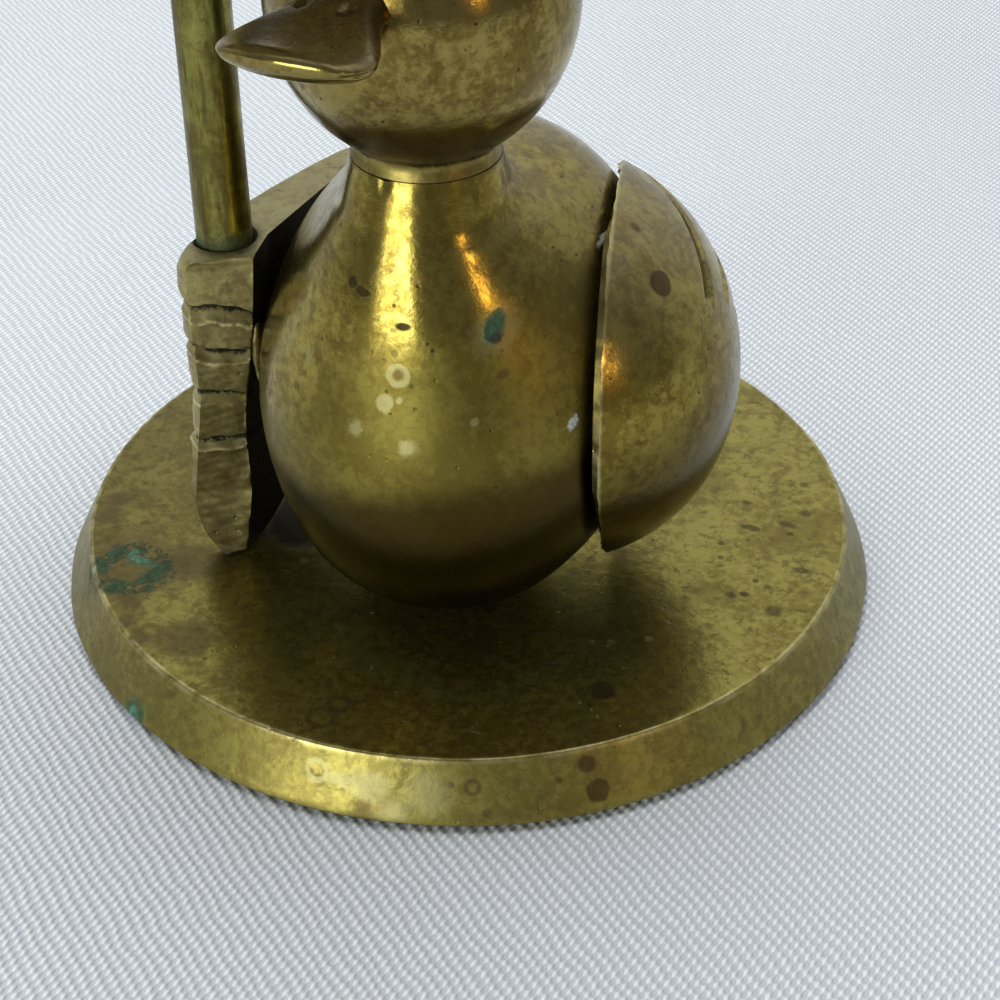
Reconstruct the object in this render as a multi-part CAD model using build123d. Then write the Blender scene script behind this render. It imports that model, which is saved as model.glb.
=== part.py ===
from build123d import *
import math
import os

# A brass duck on a round weighted base, holding up an umbrella that lifts out of
# its wing. It faces -Y, its own left side is +X, and the origin is the centre of
# the felt's underside. All lengths are in millimetres, all angles in degrees.

os.makedirs("parts", exist_ok=True)

# Clearances and overruns that all pieces share
overrun = 2.0            # how far a cutter passes the face that it cuts
halvings = 50            # steps of a search along a line
braze_gap = 0.10         # gap that a brazed joint leaves between two castings
thread_gap = 0.05        # radial gap of a screw or peg in its hole
edge_break = 0.5         # small chamfers on screws, pegs and studs

# Base: a cast disc with a bevelled side, on felt
felt_thickness = 0.8
felt_inset = 1.3         # how far the felt's edge stays inside the foot
foot_radius = 50.8
rim_radius = 47.6
plate_height = 7.0
rim_round = 0.5

# Body: a hollow egg that leans back
body_radius = 22.9       # across the long axis
body_half_length = 28.8  # along the long axis
body_end_share = 0.856   # radius of its round ends, of its radius across
body_wall = 3.0
body_lean = 62.0         # of the long axis above the horizontal, rising to the rear
body_offset_x = 4.4      # the figure stands off the base's centre, to make room for the shaft
body_offset_y = -9.9
seat_depth = 0.30        # how much of the egg's lowest point is filed flat

# Neck and head
neck_radius = 7.9
neck_rise = 1.96         # seam with the head above the egg's highest point
shoulder_sink = 0.616    # how deep the cone's foot lies inside the egg's front
shoulder_radius_share = 0.55 # foot of the cone between neck and body, of the egg's radius
shoulder_drop_share = 0.725  # height of that cone, of half the egg's height
shoulder_flare_share = 0.35  # round between cone and body, of the egg's radius
head_radius = 15.6
head_rise = 16.8         # from the seam to the head's centre
head_wall = 3.0
head_flare = 3.0         # round between neck and head

# The threaded stud that joins head and body
stud_radius = 3.0
stud_below = 11.0        # below the seam
stud_above = 9.0         # above the seam
boss_wall = 3.0          # wall round a threaded hole

# Base screw and washer, under the egg's lowest point
screw_radius = 2.5
screw_reach = 9.0        # above the top of the base
screw_head_radius = 4.5
screw_head_height = 2.6
slot_width = 1.2
slot_depth = 1.2
washer_radius = 5.0
washer_thickness = 0.9
hole_gap = 0.25          # radial gap of the screw in the plate
bore_gap = 0.5           # radial gap of the washer in its counterbore
head_recess = 0.3        # depth of the screw's head above the felt

# Bill: sections across its length, each a half width, a half height and a rise
bill_root_width = 6.8
bill_root_height = 3.6
bill_waist_width = 6.0
bill_waist_height = 2.7
bill_spoon_width = 7.4
bill_spoon_height = 1.9
bill_tip_width = 4.4
bill_tip_height = 1.1
bill_length = 13.0       # beyond the head
bill_waist_at = 4.0      # beyond the head
bill_spoon_at = 9.5      # beyond the head
bill_sink = 5.0          # how far its root starts inside the head's outline
bill_rise = 2.6          # of its middle above the head's centre
bill_tip_rise = 0.9      # of its tip above its middle
bill_peg_radius = 2.0
bill_peg_length = 7.0

# Eyes: round-headed pins
eye_radius = 2.1
eye_dome = 1.1           # height of the head of the pin
eye_pin_radius = 0.9
eye_pin_length = 2.4
eye_angle = 52.0         # round from the bill
eye_rise = 24.0          # above the head's middle

# Holding wing: a thick plate at the duck's right side, with the shaft's socket
plate_sink = 0.6         # how deep its inner face lies in the egg's widest place
plate_front_share = 0.58 # front edge before the egg's centre, of the egg's radius
plate_length = 40.3
plate_height_up = 40.3
plate_thickness = 8.1    # across the socket
plate_low = 0.4          # its lowest point above the base
plate_lean = 2.7         # how its outer face closes towards the bottom
plate_inner_lean = 4.2   # how its inner face closes towards the bottom
plate_heel_cut = 3.2     # corner that is filed off its lowest outer edge
groove_depth = 0.75      # of the grooves between the feather ends
groove_length = 16.0
# its outline seen from above, as shares of its thickness outwards and of its length
plate_plan_shares = {
    "inner_rear": (0.0, 1.0),
    "inner_front": (0.0, 0.23),
    "nose_inner": (-0.16, 0.097),
    "nose_outer": (0.78, 0.0),
    "nose_round": (0.945, 0.04),
    "outer_front": (1.0, 0.13),
    "outer_middle": (0.84, 0.50),
    "outer_rear": (0.18, 1.0),
}
# its outline seen from the side, as shares of its length and of its height
plate_side_shares = {
    "front_low": (-0.05, 0.10),
    "front_top": (-0.05, 1.0),
    "top_rear": (0.83, 1.0),
    "tip_upper": (0.965, 0.92),
    "tip": (1.0, 0.79),
    "belly": (0.72, 0.27),
    "heel": (0.17, 0.0),
    "toe": (0.03, 0.03),
}
# heights of the gaps between its feather ends, as shares of its height
groove_height_shares = (0.855, 0.72, 0.565, 0.40)

# Resting wing: a domed cap at the duck's left side
dome_proud = 1.4         # how much larger its radius is than the egg's
dome_offset_x = 5.4      # its centre from the egg's centre
dome_offset_y = 5.9
dome_offset_z = -0.4
dome_cut = 9.5           # its flat front from the dome's centre
dome_cut_turn = 17.4     # of that flat, round the upright
dome_cut_tilt = 1.0      # of that flat, above the horizontal
dome_gap = 0.8           # gap between this wing and the body
dome_rear_margin = 5.0   # how much of the dome's rear is cut away
slit_width = 1.3         # of the slits between its feathers
slit_depth = 1.6
slit_start = 10.5        # from the dome's middle
slit_tilt = 15.5
slit_turns = (48.0, 24.0, 0.0)

# Pegs that locate the wings and the tail for brazing
peg_radius = 1.75
peg_in_body = 2.4
peg_in_wing = 3.6
peg_spacing = 13.0
peg_wall = 1.0           # at least left between a peg and the shaft's socket
bead_radius = 1.7        # of the lump of brazing metal beside the holding wing
bead_half_length = 4.6
bead_setback = 4.6       # behind the wing's front edge
bead_drop = 12.6         # below the wing's top edge

# Tail
tail_root_width = 8.0
tail_root_height = 5.0
tail_mid_width = 8.0
tail_mid_height = 3.0
tail_tip_width = 6.0
tail_tip_height = 1.3
tail_length = 15.0       # beyond the egg
tail_sink = 4.0
tail_lift = 9.0          # of its tip above its root
tail_below = 8.0         # its root below the egg's centre
tail_gap_width = 1.2     # of the gaps between its feathers
tail_gap_length = 6.0

# Umbrella: a shaft that stands in the holding wing, and a spun canopy
shaft_radius = 3.175
shaft_gap = 0.08         # radial gap of the shaft in its socket
shaft_inset = 4.15       # its axis from the wing's inner face
shaft_setback = 6.8      # its axis behind the wing's front edge
socket_depth = 15.0
shaft_length = 87.5      # from the socket's floor to the collar's top
journal_radius = 2.4
journal_gap = 0.06       # radial gap of the canopy's hub on the journal
journal_length = 8.0
collar_radius = 5.2
collar_height = 3.0
canopy_radius = 42.0
canopy_rise = 17.0
canopy_wall = 1.4
hub_radius = 5.5
hub_height = 4.0
hub_play = 0.30          # play of the hub under the finial
scallop_depth = 1.9      # of the hem between two ribs, inside their chord
rib_count = 8
rib_radius = 0.8
rib_tip_radius = 1.3
rib_gap = 0.05           # gap under the canopy, filled with solder
finial_radius = 3.6
finial_height = 9.0


def rod(radius, low, high, x=0.0, y=0.0):
    """An upright cylinder between two heights."""
    return Pos(x, y, low) * Cylinder(radius, high - low, align=(Align.CENTER, Align.CENTER, Align.MIN))


def bar(radius, start, end, y, z):
    """A cylinder along X between two places."""
    lying = Rot(0, 90, 0) * Cylinder(radius, end - start, align=(Align.CENTER, Align.CENTER, Align.MIN))
    return Pos(start, y, z) * lying


def oval_sizes(radius, half_length):
    """An oval's end radius, how far up that end's centre is, and how far across its sides' centre is."""
    end = body_end_share * radius
    up = half_length - end
    flat = radius - end
    return end, up, (up**2 - flat**2) / (2 * flat)


def egg(radius, half_length, grow):
    """An egg with its long axis along Z, centred on the origin and grown by an amount all over."""
    end, up, across = oval_sizes(radius, half_length)
    tilt = math.atan2(up, across)
    meet_x, meet_z = (end + grow) * math.cos(tilt), up + (end + grow) * math.sin(tilt)
    tip = half_length + grow
    middle = tilt + (math.pi / 2 - tilt) / 2
    round_x, round_z = (end + grow) * math.cos(middle), up + (end + grow) * math.sin(middle)
    outline = make_face([
        ThreePointArc((0, tip), (round_x, round_z), (meet_x, meet_z)),
        ThreePointArc((meet_x, meet_z), (radius + grow, 0), (meet_x, -meet_z)),
        ThreePointArc((meet_x, -meet_z), (round_x, -round_z), (0, -tip)),
        Line((0, -tip), (0, tip)),
    ])
    return revolve(Plane.XZ * outline, Axis.Z)


# The main places, worked out from the sizes above
base_top = felt_thickness + plate_height
lean = math.radians(body_lean)
egg_end, egg_up, egg_across = oval_sizes(body_radius, body_half_length)
egg_half_height = egg_up * math.sin(lean) + egg_end
egg_skew = egg_up * math.cos(lean)
body_height = base_top + egg_half_height - seat_depth
contact_y = body_offset_y - egg_skew
seam_height = body_height + egg_half_height + neck_rise
shoulder_radius = max(shoulder_radius_share * body_radius, neck_radius + edge_break)
shoulder_drop = shoulder_drop_share * egg_half_height
head_height = seam_height + head_rise


def egg_gap(x, y, z):
    """How far a place is outside the egg; negative inside."""
    forward, rise = y - body_offset_y, z - body_height
    along = abs(forward * math.cos(lean) + rise * math.sin(lean))
    out = math.hypot(x - body_offset_x, rise * math.cos(lean) - forward * math.sin(lean))
    if math.atan2(along, out + egg_across) > math.atan2(egg_up, egg_across):
        return math.hypot(out, along - egg_up) - egg_end
    return math.hypot(out + egg_across, along) - egg_across - body_radius


def egg_reach(x, y, z, way_x, way_y):
    """How far it is from a place inside the egg, level, to its skin."""
    low, high = 0.0, 2 * body_half_length
    for _ in range(halvings):
        middle = (low + high) / 2
        if egg_gap(x + way_x * middle, y + way_y * middle, z) < 0:
            low = middle
        else:
            high = middle
    return low


def egg_side(y, z):
    """Half the egg's width in X at a place on its side."""
    return egg_reach(body_offset_x, y, z, 1, 0)


def egg_profile(z, side):
    """Where the egg's outline lies in Y at a height, in its middle plane: side is -1 in front, 1 behind."""
    inside_y = body_offset_y + (z - body_height) / math.tan(lean)
    return inside_y + side * egg_reach(body_offset_x, inside_y, z, 0, side)


neck_y = egg_profile(seam_height - shoulder_drop, -1) + shoulder_radius + shoulder_sink

plate_face_x = body_offset_x - body_radius + plate_sink
plate_front_y = body_offset_y - plate_front_share * body_radius
plate_floor = base_top + plate_low
plate_top = plate_floor + plate_height_up
shaft_x = plate_face_x - shaft_inset
shaft_y = plate_front_y + shaft_setback
wing_peg_y = max(body_offset_y, shaft_y + shaft_radius + shaft_gap + peg_wall + peg_radius + thread_gap)
socket_floor = plate_top - socket_depth
collar_top = socket_floor + shaft_length
journal_top = collar_top + journal_length

dome_radius = body_radius + dome_proud
dome_centre = Vector(
    body_offset_x + dome_offset_x, body_offset_y + dome_offset_y, body_height + dome_offset_z
)


def body_egg(grow=0.0):
    """The egg in its place, grown or shrunk by an amount."""
    turned = Rot(body_lean - 90, 0, 0) * egg(body_radius, body_half_length, grow)
    return Pos(body_offset_x, body_offset_y, body_height) * turned


def make_base_plate():
    profile = [(0, felt_thickness), (foot_radius, felt_thickness), (rim_radius, base_top), (0, base_top)]
    plate = revolve(Plane.XZ * make_face(Polyline(*profile, close=True)), Axis.Z)
    rim = plate.edges().filter_by(GeomType.CIRCLE).sort_by(Axis.Z)[-1]
    plate = fillet(rim, rim_round)
    plate -= rod(screw_radius + hole_gap, 0, base_top + overrun, body_offset_x, contact_y)
    bore_top = felt_thickness + head_recess + screw_head_height + washer_thickness
    plate -= rod(washer_radius + bore_gap, 0, bore_top, body_offset_x, contact_y)
    return plate


def make_base_felt():
    return rod(foot_radius - felt_inset, 0, felt_thickness)


def make_base_screw():
    head_low = felt_thickness + head_recess
    head = rod(screw_head_radius, head_low, head_low + screw_head_height)
    screw = head + rod(screw_radius, head_low, base_top + screw_reach)
    tip = screw.edges().filter_by(GeomType.CIRCLE).sort_by(Axis.Z)[-1]
    screw = chamfer(tip, edge_break)
    screw -= Pos(0, 0, head_low) * Box(4 * screw_head_radius, slot_width, 2 * slot_depth)
    return Pos(body_offset_x, contact_y, 0) * screw


def make_base_washer():
    low = felt_thickness + head_recess + screw_head_height
    ring = rod(washer_radius, low, low + washer_thickness)
    ring -= rod(screw_radius + hole_gap, low - overrun, low + washer_thickness + overrun)
    return Pos(body_offset_x, contact_y, 0) * ring


def neck_ring(skin, low, high):
    """The round seam of a neck on a ball, between two heights."""
    wide = 2 * neck_radius - edge_break
    return [
        e
        for e in skin.edges()
        if e.bounding_box().size.X > wide
        and e.bounding_box().size.X < 2 * neck_radius + edge_break
        and low < e.center().Z < high
    ]


def peg_heights():
    return [body_height - peg_spacing / 2, body_height + peg_spacing / 2]


def holding_pegs():
    """The pegs of the holding wing, as (start, end, y, z)."""
    places = []
    for z in peg_heights():
        skin_x = body_offset_x - egg_side(wing_peg_y, z)
        places.append((plate_face_x - peg_in_wing, skin_x + peg_in_body, wing_peg_y, z))
    return places


def resting_pegs():
    """The pegs of the resting wing, as (start, end, y, z)."""
    places = []
    for z in peg_heights():
        skin_x = body_offset_x + egg_side(body_offset_y, z)
        places.append((skin_x - peg_in_body, skin_x + dome_gap + peg_in_wing, body_offset_y, z))
    return places


def tail_peg_place():
    z = body_height - tail_below
    return egg_profile(z, 1), z


def make_body_shell():
    on_top = (Align.CENTER, Align.CENTER, Align.MAX)
    shoulder = Cone(shoulder_radius, neck_radius, shoulder_drop, align=on_top)
    skin = body_egg() + Pos(body_offset_x, neck_y, seam_height) * shoulder
    seam = []
    for edge in skin.edges():
        size = edge.bounding_box().size
        if edge_break < size.Z < body_radius and size.X > neck_radius:
            seam.append(edge)
    skin = fillet(seam, shoulder_flare_share * body_radius)
    below = Box(4 * body_radius, 4 * body_radius, 2 * body_height, align=on_top)
    skin -= Pos(body_offset_x, body_offset_y, base_top) * below
    hollow = body_egg(-body_wall)
    stud_low = seam_height - stud_below
    hollow -= rod(stud_radius + boss_wall, stud_low, seam_height, body_offset_x, neck_y)
    screw_top = base_top + screw_reach
    hollow -= rod(screw_radius + boss_wall, base_top, screw_top, body_offset_x, contact_y)
    skin -= hollow
    skin -= rod(stud_radius + thread_gap, stud_low - overrun, seam_height + overrun, body_offset_x, neck_y)
    skin -= rod(screw_radius + thread_gap, 0, screw_top + overrun, body_offset_x, contact_y)
    for start, end, y, z in holding_pegs() + resting_pegs():
        skin -= bar(peg_radius + thread_gap, start, end, y, z)
    skin -= tail_peg(thread_gap)
    return skin


def make_head_stud():
    stud = rod(stud_radius, seam_height - stud_below, seam_height + stud_above, body_offset_x, neck_y)
    ends = stud.edges().filter_by(GeomType.CIRCLE)
    return chamfer(ends, edge_break)


def head_ball(grow=0.0):
    return Pos(body_offset_x, neck_y, head_height) * Sphere(head_radius + grow)


def bill_peg(grow=0.0):
    """The peg of the bill, along Y, half in the head and half in the bill."""
    lying = Rot(90, 0, 0) * Cylinder(bill_peg_radius + grow, bill_peg_length)
    return Pos(body_offset_x, neck_y - head_radius, head_height + bill_rise) * lying


def eye_turn(side):
    """The place of an eye on the head, looking along its pin."""
    return Pos(body_offset_x, neck_y, head_height) * Rot(0, 0, side * eye_angle) * Rot(eye_rise + 90, 0, 0)


def make_head():
    neck = rod(neck_radius, seam_height, head_height, body_offset_x, neck_y)
    skin = head_ball() + neck
    skin = fillet(neck_ring(skin, seam_height + edge_break, head_height), head_flare)
    hollow = head_ball(-head_wall)
    stud_top = seam_height + stud_above
    hollow -= rod(stud_radius + boss_wall, seam_height, stud_top + boss_wall, body_offset_x, neck_y)
    skin -= hollow
    skin -= rod(stud_radius + thread_gap, seam_height - overrun, stud_top, body_offset_x, neck_y)
    skin -= bill_peg(thread_gap)
    for side in (-1, 1):
        hole = rod(eye_pin_radius + thread_gap, head_radius - eye_pin_length, head_radius + overrun)
        skin -= eye_turn(side) * hole
    return skin


def lens(half_width, half_height, y, z):
    """An upright elliptical face across Y at a place of the bill or the tail."""
    across = Plane(origin=(body_offset_x, y, z), x_dir=(1, 0, 0), z_dir=(0, -1, 0))
    return across * Ellipse(half_width, half_height)


def make_bill():
    front = neck_y - head_radius
    middle = head_height + bill_rise
    sections = [
        lens(bill_root_width, bill_root_height, front + bill_sink, middle),
        lens(bill_waist_width, bill_waist_height, front - bill_waist_at, middle),
        lens(bill_spoon_width, bill_spoon_height, front - bill_spoon_at, middle),
        lens(bill_tip_width, bill_tip_height, front - bill_length, middle + bill_tip_rise),
    ]
    bill = loft(sections)
    bill -= head_ball(braze_gap)
    bill -= bill_peg(thread_gap)
    return bill


def make_eye(side):
    dome_ball = (eye_radius**2 + eye_dome**2) / (2 * eye_dome)
    dome = Pos(0, 0, head_radius + eye_dome - dome_ball) * Sphere(dome_ball)
    dome &= rod(eye_radius, head_radius - edge_break, head_radius + eye_dome + overrun)
    eye = eye_turn(side) * dome - head_ball(braze_gap)
    pin = rod(eye_pin_radius, head_radius - eye_pin_length, head_radius + eye_dome / 2)
    return eye + eye_turn(side) * pin


def plan_point(name):
    """A place of the holding wing's outline seen from above."""
    across, along = plate_plan_shares[name]
    return plate_face_x - across * plate_thickness, plate_front_y + along * plate_length


def side_point(name):
    """A place of the holding wing's outline seen from the side."""
    along, up = plate_side_shares[name]
    return plate_front_y + along * plate_length, plate_floor + up * plate_height_up


def groove_bar(start, end, height):
    """A square bar on its edge, along the line between two places of the plan."""
    size = groove_depth * math.sqrt(2)
    turn = math.degrees(math.atan2(end[1] - start[1], end[0] - start[0]))
    middle = Pos((start[0] + end[0]) / 2, (start[1] + end[1]) / 2, height)
    return middle * (Rot(0, 0, turn) * (Rot(45, 0, 0) * Box(groove_length, size, size)))


def inner_side(gap=0.0):
    """The room beside the holding wing's leaning inner face."""
    nose_x = plate_face_x - plate_plan_shares["nose_inner"][0] * plate_thickness + gap
    beside = (Align.MIN, Align.CENTER, Align.CENTER)
    room = Box(plate_thickness, 4 * plate_length, 4 * plate_height_up, align=beside)
    return Pos(nose_x, shaft_y, plate_top) * (Rot(0, plate_inner_lean, 0) * room)


def make_wing_braze():
    """The lump of brazing metal between the holding wing and the body."""
    drop = bead_drop * math.tan(math.radians(plate_inner_lean))
    nose_x = plate_face_x - plate_plan_shares["nose_inner"][0] * plate_thickness
    lump = scale(Sphere(bead_radius), by=(1, 1, bead_half_length / bead_radius))
    lump = Pos(nose_x - drop, plate_front_y + bead_setback, plate_top - bead_drop) * lump
    return (lump & inner_side(braze_gap)) - body_egg(braze_gap)


def make_holding_wing():
    p = {name: plan_point(name) for name in plate_plan_shares}
    plan = make_face([
        Line(p["inner_rear"], p["inner_front"]),
        Line(p["inner_front"], p["nose_inner"]),
        Line(p["nose_inner"], p["nose_outer"]),
        ThreePointArc(p["nose_outer"], p["nose_round"], p["outer_front"]),
        ThreePointArc(p["outer_front"], p["outer_middle"], p["outer_rear"]),
        Line(p["outer_rear"], p["inner_rear"]),
    ])
    prism = Pos(0, 0, plate_floor - plate_height_up) * extrude(plan, 3 * plate_height_up)
    for share in groove_height_shares:
        height = plate_floor + share * plate_height_up
        prism -= groove_bar(p["nose_inner"], p["nose_outer"], height)
        prism -= groove_bar(p["nose_round"], p["nose_round"], height)
    at_top = Pos(plate_face_x, plate_front_y, plate_top)
    prism = at_top * (Rot(0, -plate_lean, 0) * (Pos(-plate_face_x, -plate_front_y, -plate_top) * prism))

    q = {name: side_point(name) for name in plate_side_shares}
    side = Plane.YZ * make_face([
        Line(q["front_low"], q["front_top"]),
        Line(q["front_top"], q["top_rear"]),
        ThreePointArc(q["top_rear"], q["tip_upper"], q["tip"]),
        ThreePointArc(q["tip"], q["belly"], q["heel"]),
        ThreePointArc(q["heel"], q["toe"], q["front_low"]),
    ])
    slab = Pos(plate_face_x + plate_thickness, 0, 0) * extrude(side, -3 * plate_thickness)
    plate = prism & slab
    inner = Pos(plate_face_x, shaft_y, 0) * Box(
        plate_thickness, 2 * plate_length, 4 * plate_height_up, align=(Align.MIN, Align.MIN, Align.CENTER)
    )
    plate -= inner
    plate -= inner_side()
    low_outer = plate_face_x - plate_thickness + plate_height_up * math.sin(math.radians(plate_lean))
    on_top = (Align.CENTER, Align.CENTER, Align.MAX)
    heel = Rot(0, 45, 0) * Box(4 * plate_thickness, 4 * plate_length, 4 * plate_thickness, align=on_top)
    plate -= Pos(low_outer + plate_heel_cut / 2, shaft_y, plate_floor + plate_heel_cut / 2) * heel
    plate -= body_egg(braze_gap)
    plate -= rod(shaft_radius + shaft_gap, socket_floor, plate_top + overrun, shaft_x, shaft_y)
    for start, end, y, z in holding_pegs():
        plate -= bar(peg_radius + thread_gap, start, end, y, z)
    return plate


def make_resting_wing():
    big = 4 * dome_radius
    cap = Pos(dome_centre) * (Rot(0, 90, 0) * Sphere(dome_radius))
    flat = Box(big, big, big, align=(Align.MAX, Align.CENTER, Align.CENTER))
    flat = Rot(0, 0, dome_cut_turn) * (Rot(0, -dome_cut_tilt, 0) * (Pos(dome_cut, 0, 0) * flat))
    cap -= Pos(dome_centre) * flat
    behind = (Align.CENTER, Align.MIN, Align.CENTER)
    rear = Box(big, big, big, align=behind)
    cap -= Pos(dome_centre) * (Pos(0, dome_radius - dome_rear_margin, 0) * rear)
    for turn in slit_turns:
        slit = Pos(0, slit_start, 0) * Box(big, big, slit_width, align=behind)
        slit = Rot(turn, 0, 0) * (Rot(0, -slit_tilt, 0) * slit)
        slit -= Rot(0, 90, 0) * Sphere(dome_radius - slit_depth)
        cap -= Pos(dome_centre) * slit
    tail_y, tail_z = tail_peg_place()
    room = Box(2 * (tail_root_width + dome_gap), 2 * dome_radius, 2 * (tail_root_height + dome_gap))
    cap -= Pos(body_offset_x, tail_y + dome_radius - tail_sink, tail_z) * room
    cap -= body_egg(dome_gap)
    for start, end, y, z in resting_pegs():
        cap -= bar(peg_radius + thread_gap, start, end, y, z)
    return cap


def make_pegs(places):
    pegs = []
    for start, end, y, z in places:
        peg = bar(peg_radius, start + thread_gap, end - thread_gap, y, z)
        pegs.append(chamfer(peg.edges().filter_by(GeomType.CIRCLE), edge_break))
    return Compound(children=[Solid(p.solids()[0].wrapped) for p in pegs])


def tail_peg(grow=0.0):
    """The peg of the tail, along Y, through the body's wall."""
    y, z = tail_peg_place()
    lying = Rot(-90, 0, 0) * Cylinder(peg_radius + grow, peg_in_body + peg_in_wing + 2 * grow)
    return Pos(body_offset_x, y + (peg_in_wing - peg_in_body) / 2, z) * lying


def make_tail():
    y, z = tail_peg_place()
    sections = [
        lens(tail_root_width, tail_root_height, y - tail_sink, z),
        lens(tail_mid_width, tail_mid_height, y + tail_length / 2, z + tail_lift / 3),
        lens(tail_tip_width, tail_tip_height, y + tail_length, z + tail_lift),
    ]
    tail = loft(sections)
    for side in (-1, 1):
        gap = Box(tail_gap_width, 2 * tail_gap_length, 4 * tail_root_height)
        tail -= Pos(body_offset_x + side * tail_tip_width / 3, y + tail_length, z + tail_lift) * gap
    tail -= body_egg(braze_gap)
    tail -= tail_peg(thread_gap)
    return tail


def make_shaft():
    shaft = rod(shaft_radius, socket_floor, collar_top - collar_height, shaft_x, shaft_y)
    shaft += rod(journal_radius, collar_top - collar_height, journal_top, shaft_x, shaft_y)
    ends = shaft.edges().filter_by(GeomType.CIRCLE).sort_by(Axis.Z)
    return chamfer([ends[0], ends[-1]], edge_break)


def make_collar():
    collar = rod(collar_radius, collar_top - collar_height, collar_top, shaft_x, shaft_y)
    collar = fillet(collar.edges().filter_by(GeomType.CIRCLE), collar_height / 4)
    return collar - rod(journal_radius + thread_gap, 0, journal_top, shaft_x, shaft_y)


def make_canopy():
    outer = (canopy_radius**2 + canopy_rise**2) / (2 * canopy_rise)
    inner = outer - canopy_wall
    apex = hub_height
    centre = apex - outer
    rim_low = apex - canopy_rise
    shell = Pos(0, 0, centre) * (Sphere(outer) - Sphere(inner))
    keep = rod(canopy_radius, rim_low, apex + overrun)
    shell &= keep
    chord = canopy_radius * math.cos(math.pi / rib_count)
    half = canopy_radius * math.sin(math.pi / rib_count)
    scallop = (half**2 + scallop_depth**2) / (2 * scallop_depth)
    for i in range(rib_count):
        turn = Rot(0, 0, (i + 0.5) * 360 / rib_count)
        shell -= turn * rod(scallop, rim_low - overrun, apex, chord - scallop_depth + scallop)
    shell += rod(hub_radius, 0, hub_height)
    shell -= rod(journal_radius + journal_gap, -overrun, hub_height + overrun)
    return Pos(shaft_x, shaft_y, collar_top) * shell


def make_ribs():
    outer = (canopy_radius**2 + canopy_rise**2) / (2 * canopy_rise)
    reach = outer - canopy_wall - rib_gap - rib_radius
    start = math.degrees(math.asin((hub_radius + rib_gap + rib_radius) / reach))
    end = math.degrees(math.asin((canopy_radius + rib_gap + rib_tip_radius) / reach))
    path = Plane.XZ * CenterArc((0, 0), reach, 90 - end, end - start)
    arm = sweep(Plane(origin=path @ 0, z_dir=path % 0) * Circle(rib_radius), path=path)
    arm += Pos(path @ 0) * Sphere(rib_tip_radius)
    place = Pos(shaft_x, shaft_y, collar_top + hub_height - outer)
    ribs = [place * (Rot(0, 0, i * 360 / rib_count) * arm) for i in range(rib_count)]
    return Compound(children=[Solid(r.solids()[0].wrapped) for r in ribs])


def make_finial():
    low = collar_top + hub_height + hub_play
    nut = rod(finial_radius, low, low + finial_height / 3)
    upwards = (Align.CENTER, Align.CENTER, Align.MIN)
    point = Cone(finial_radius, finial_radius / 4, finial_height * 2 / 3, align=upwards)
    nut += Pos(0, 0, low + finial_height / 3) * point
    nut = Pos(shaft_x, shaft_y, 0) * nut
    return nut - rod(journal_radius + thread_gap, 0, journal_top, shaft_x, shaft_y)


PIECES = {
    "base_plate": make_base_plate,
    "base_felt": make_base_felt,
    "base_screw": make_base_screw,
    "base_washer": make_base_washer,
    "body_shell": make_body_shell,
    "head_stud": make_head_stud,
    "head": make_head,
    "bill": make_bill,
    "bill_peg": bill_peg,
    "left_eye": lambda: make_eye(1),
    "right_eye": lambda: make_eye(-1),
    "holding_wing": make_holding_wing,
    "holding_wing_pegs": lambda: make_pegs(holding_pegs()),
    "holding_wing_braze": make_wing_braze,
    "resting_wing": make_resting_wing,
    "resting_wing_pegs": lambda: make_pegs(resting_pegs()),
    "tail": make_tail,
    "tail_peg": tail_peg,
    "umbrella_shaft": make_shaft,
    "umbrella_collar": make_collar,
    "umbrella_canopy": make_canopy,
    "umbrella_ribs": make_ribs,
    "umbrella_finial": make_finial,
}

for name, make in PIECES.items():
    export_step(make(), f"parts/{name}.step")
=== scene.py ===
import math
import bpy
import numpy as np
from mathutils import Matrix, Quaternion, Vector


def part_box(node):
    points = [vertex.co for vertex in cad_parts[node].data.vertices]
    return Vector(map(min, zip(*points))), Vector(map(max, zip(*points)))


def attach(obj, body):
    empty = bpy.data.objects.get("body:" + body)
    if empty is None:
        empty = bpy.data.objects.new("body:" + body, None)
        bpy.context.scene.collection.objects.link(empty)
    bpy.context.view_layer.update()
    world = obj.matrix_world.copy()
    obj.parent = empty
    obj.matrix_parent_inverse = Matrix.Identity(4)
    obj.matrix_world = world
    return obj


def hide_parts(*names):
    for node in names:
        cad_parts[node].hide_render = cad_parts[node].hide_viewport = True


# A brass duck on a round base. Lengths below are millimetres; MM turns them to metres.
# The duck faces -Y, its own left side is +X, and the felt's underside is at height 0.
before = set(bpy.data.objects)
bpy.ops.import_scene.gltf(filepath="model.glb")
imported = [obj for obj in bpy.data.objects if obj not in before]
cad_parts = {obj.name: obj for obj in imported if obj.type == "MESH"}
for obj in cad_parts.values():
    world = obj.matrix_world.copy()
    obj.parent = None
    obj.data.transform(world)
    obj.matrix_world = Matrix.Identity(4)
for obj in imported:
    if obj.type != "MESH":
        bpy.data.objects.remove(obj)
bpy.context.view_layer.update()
scene = bpy.context.scene
MM = 0.001

# Base and felt
FELT_TOP = 0.8
BASE_TOP = 7.8
FOOT_RADIUS = 50.8
RIM_RADIUS = 47.6
RIM_ROUND = 0.5

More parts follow.
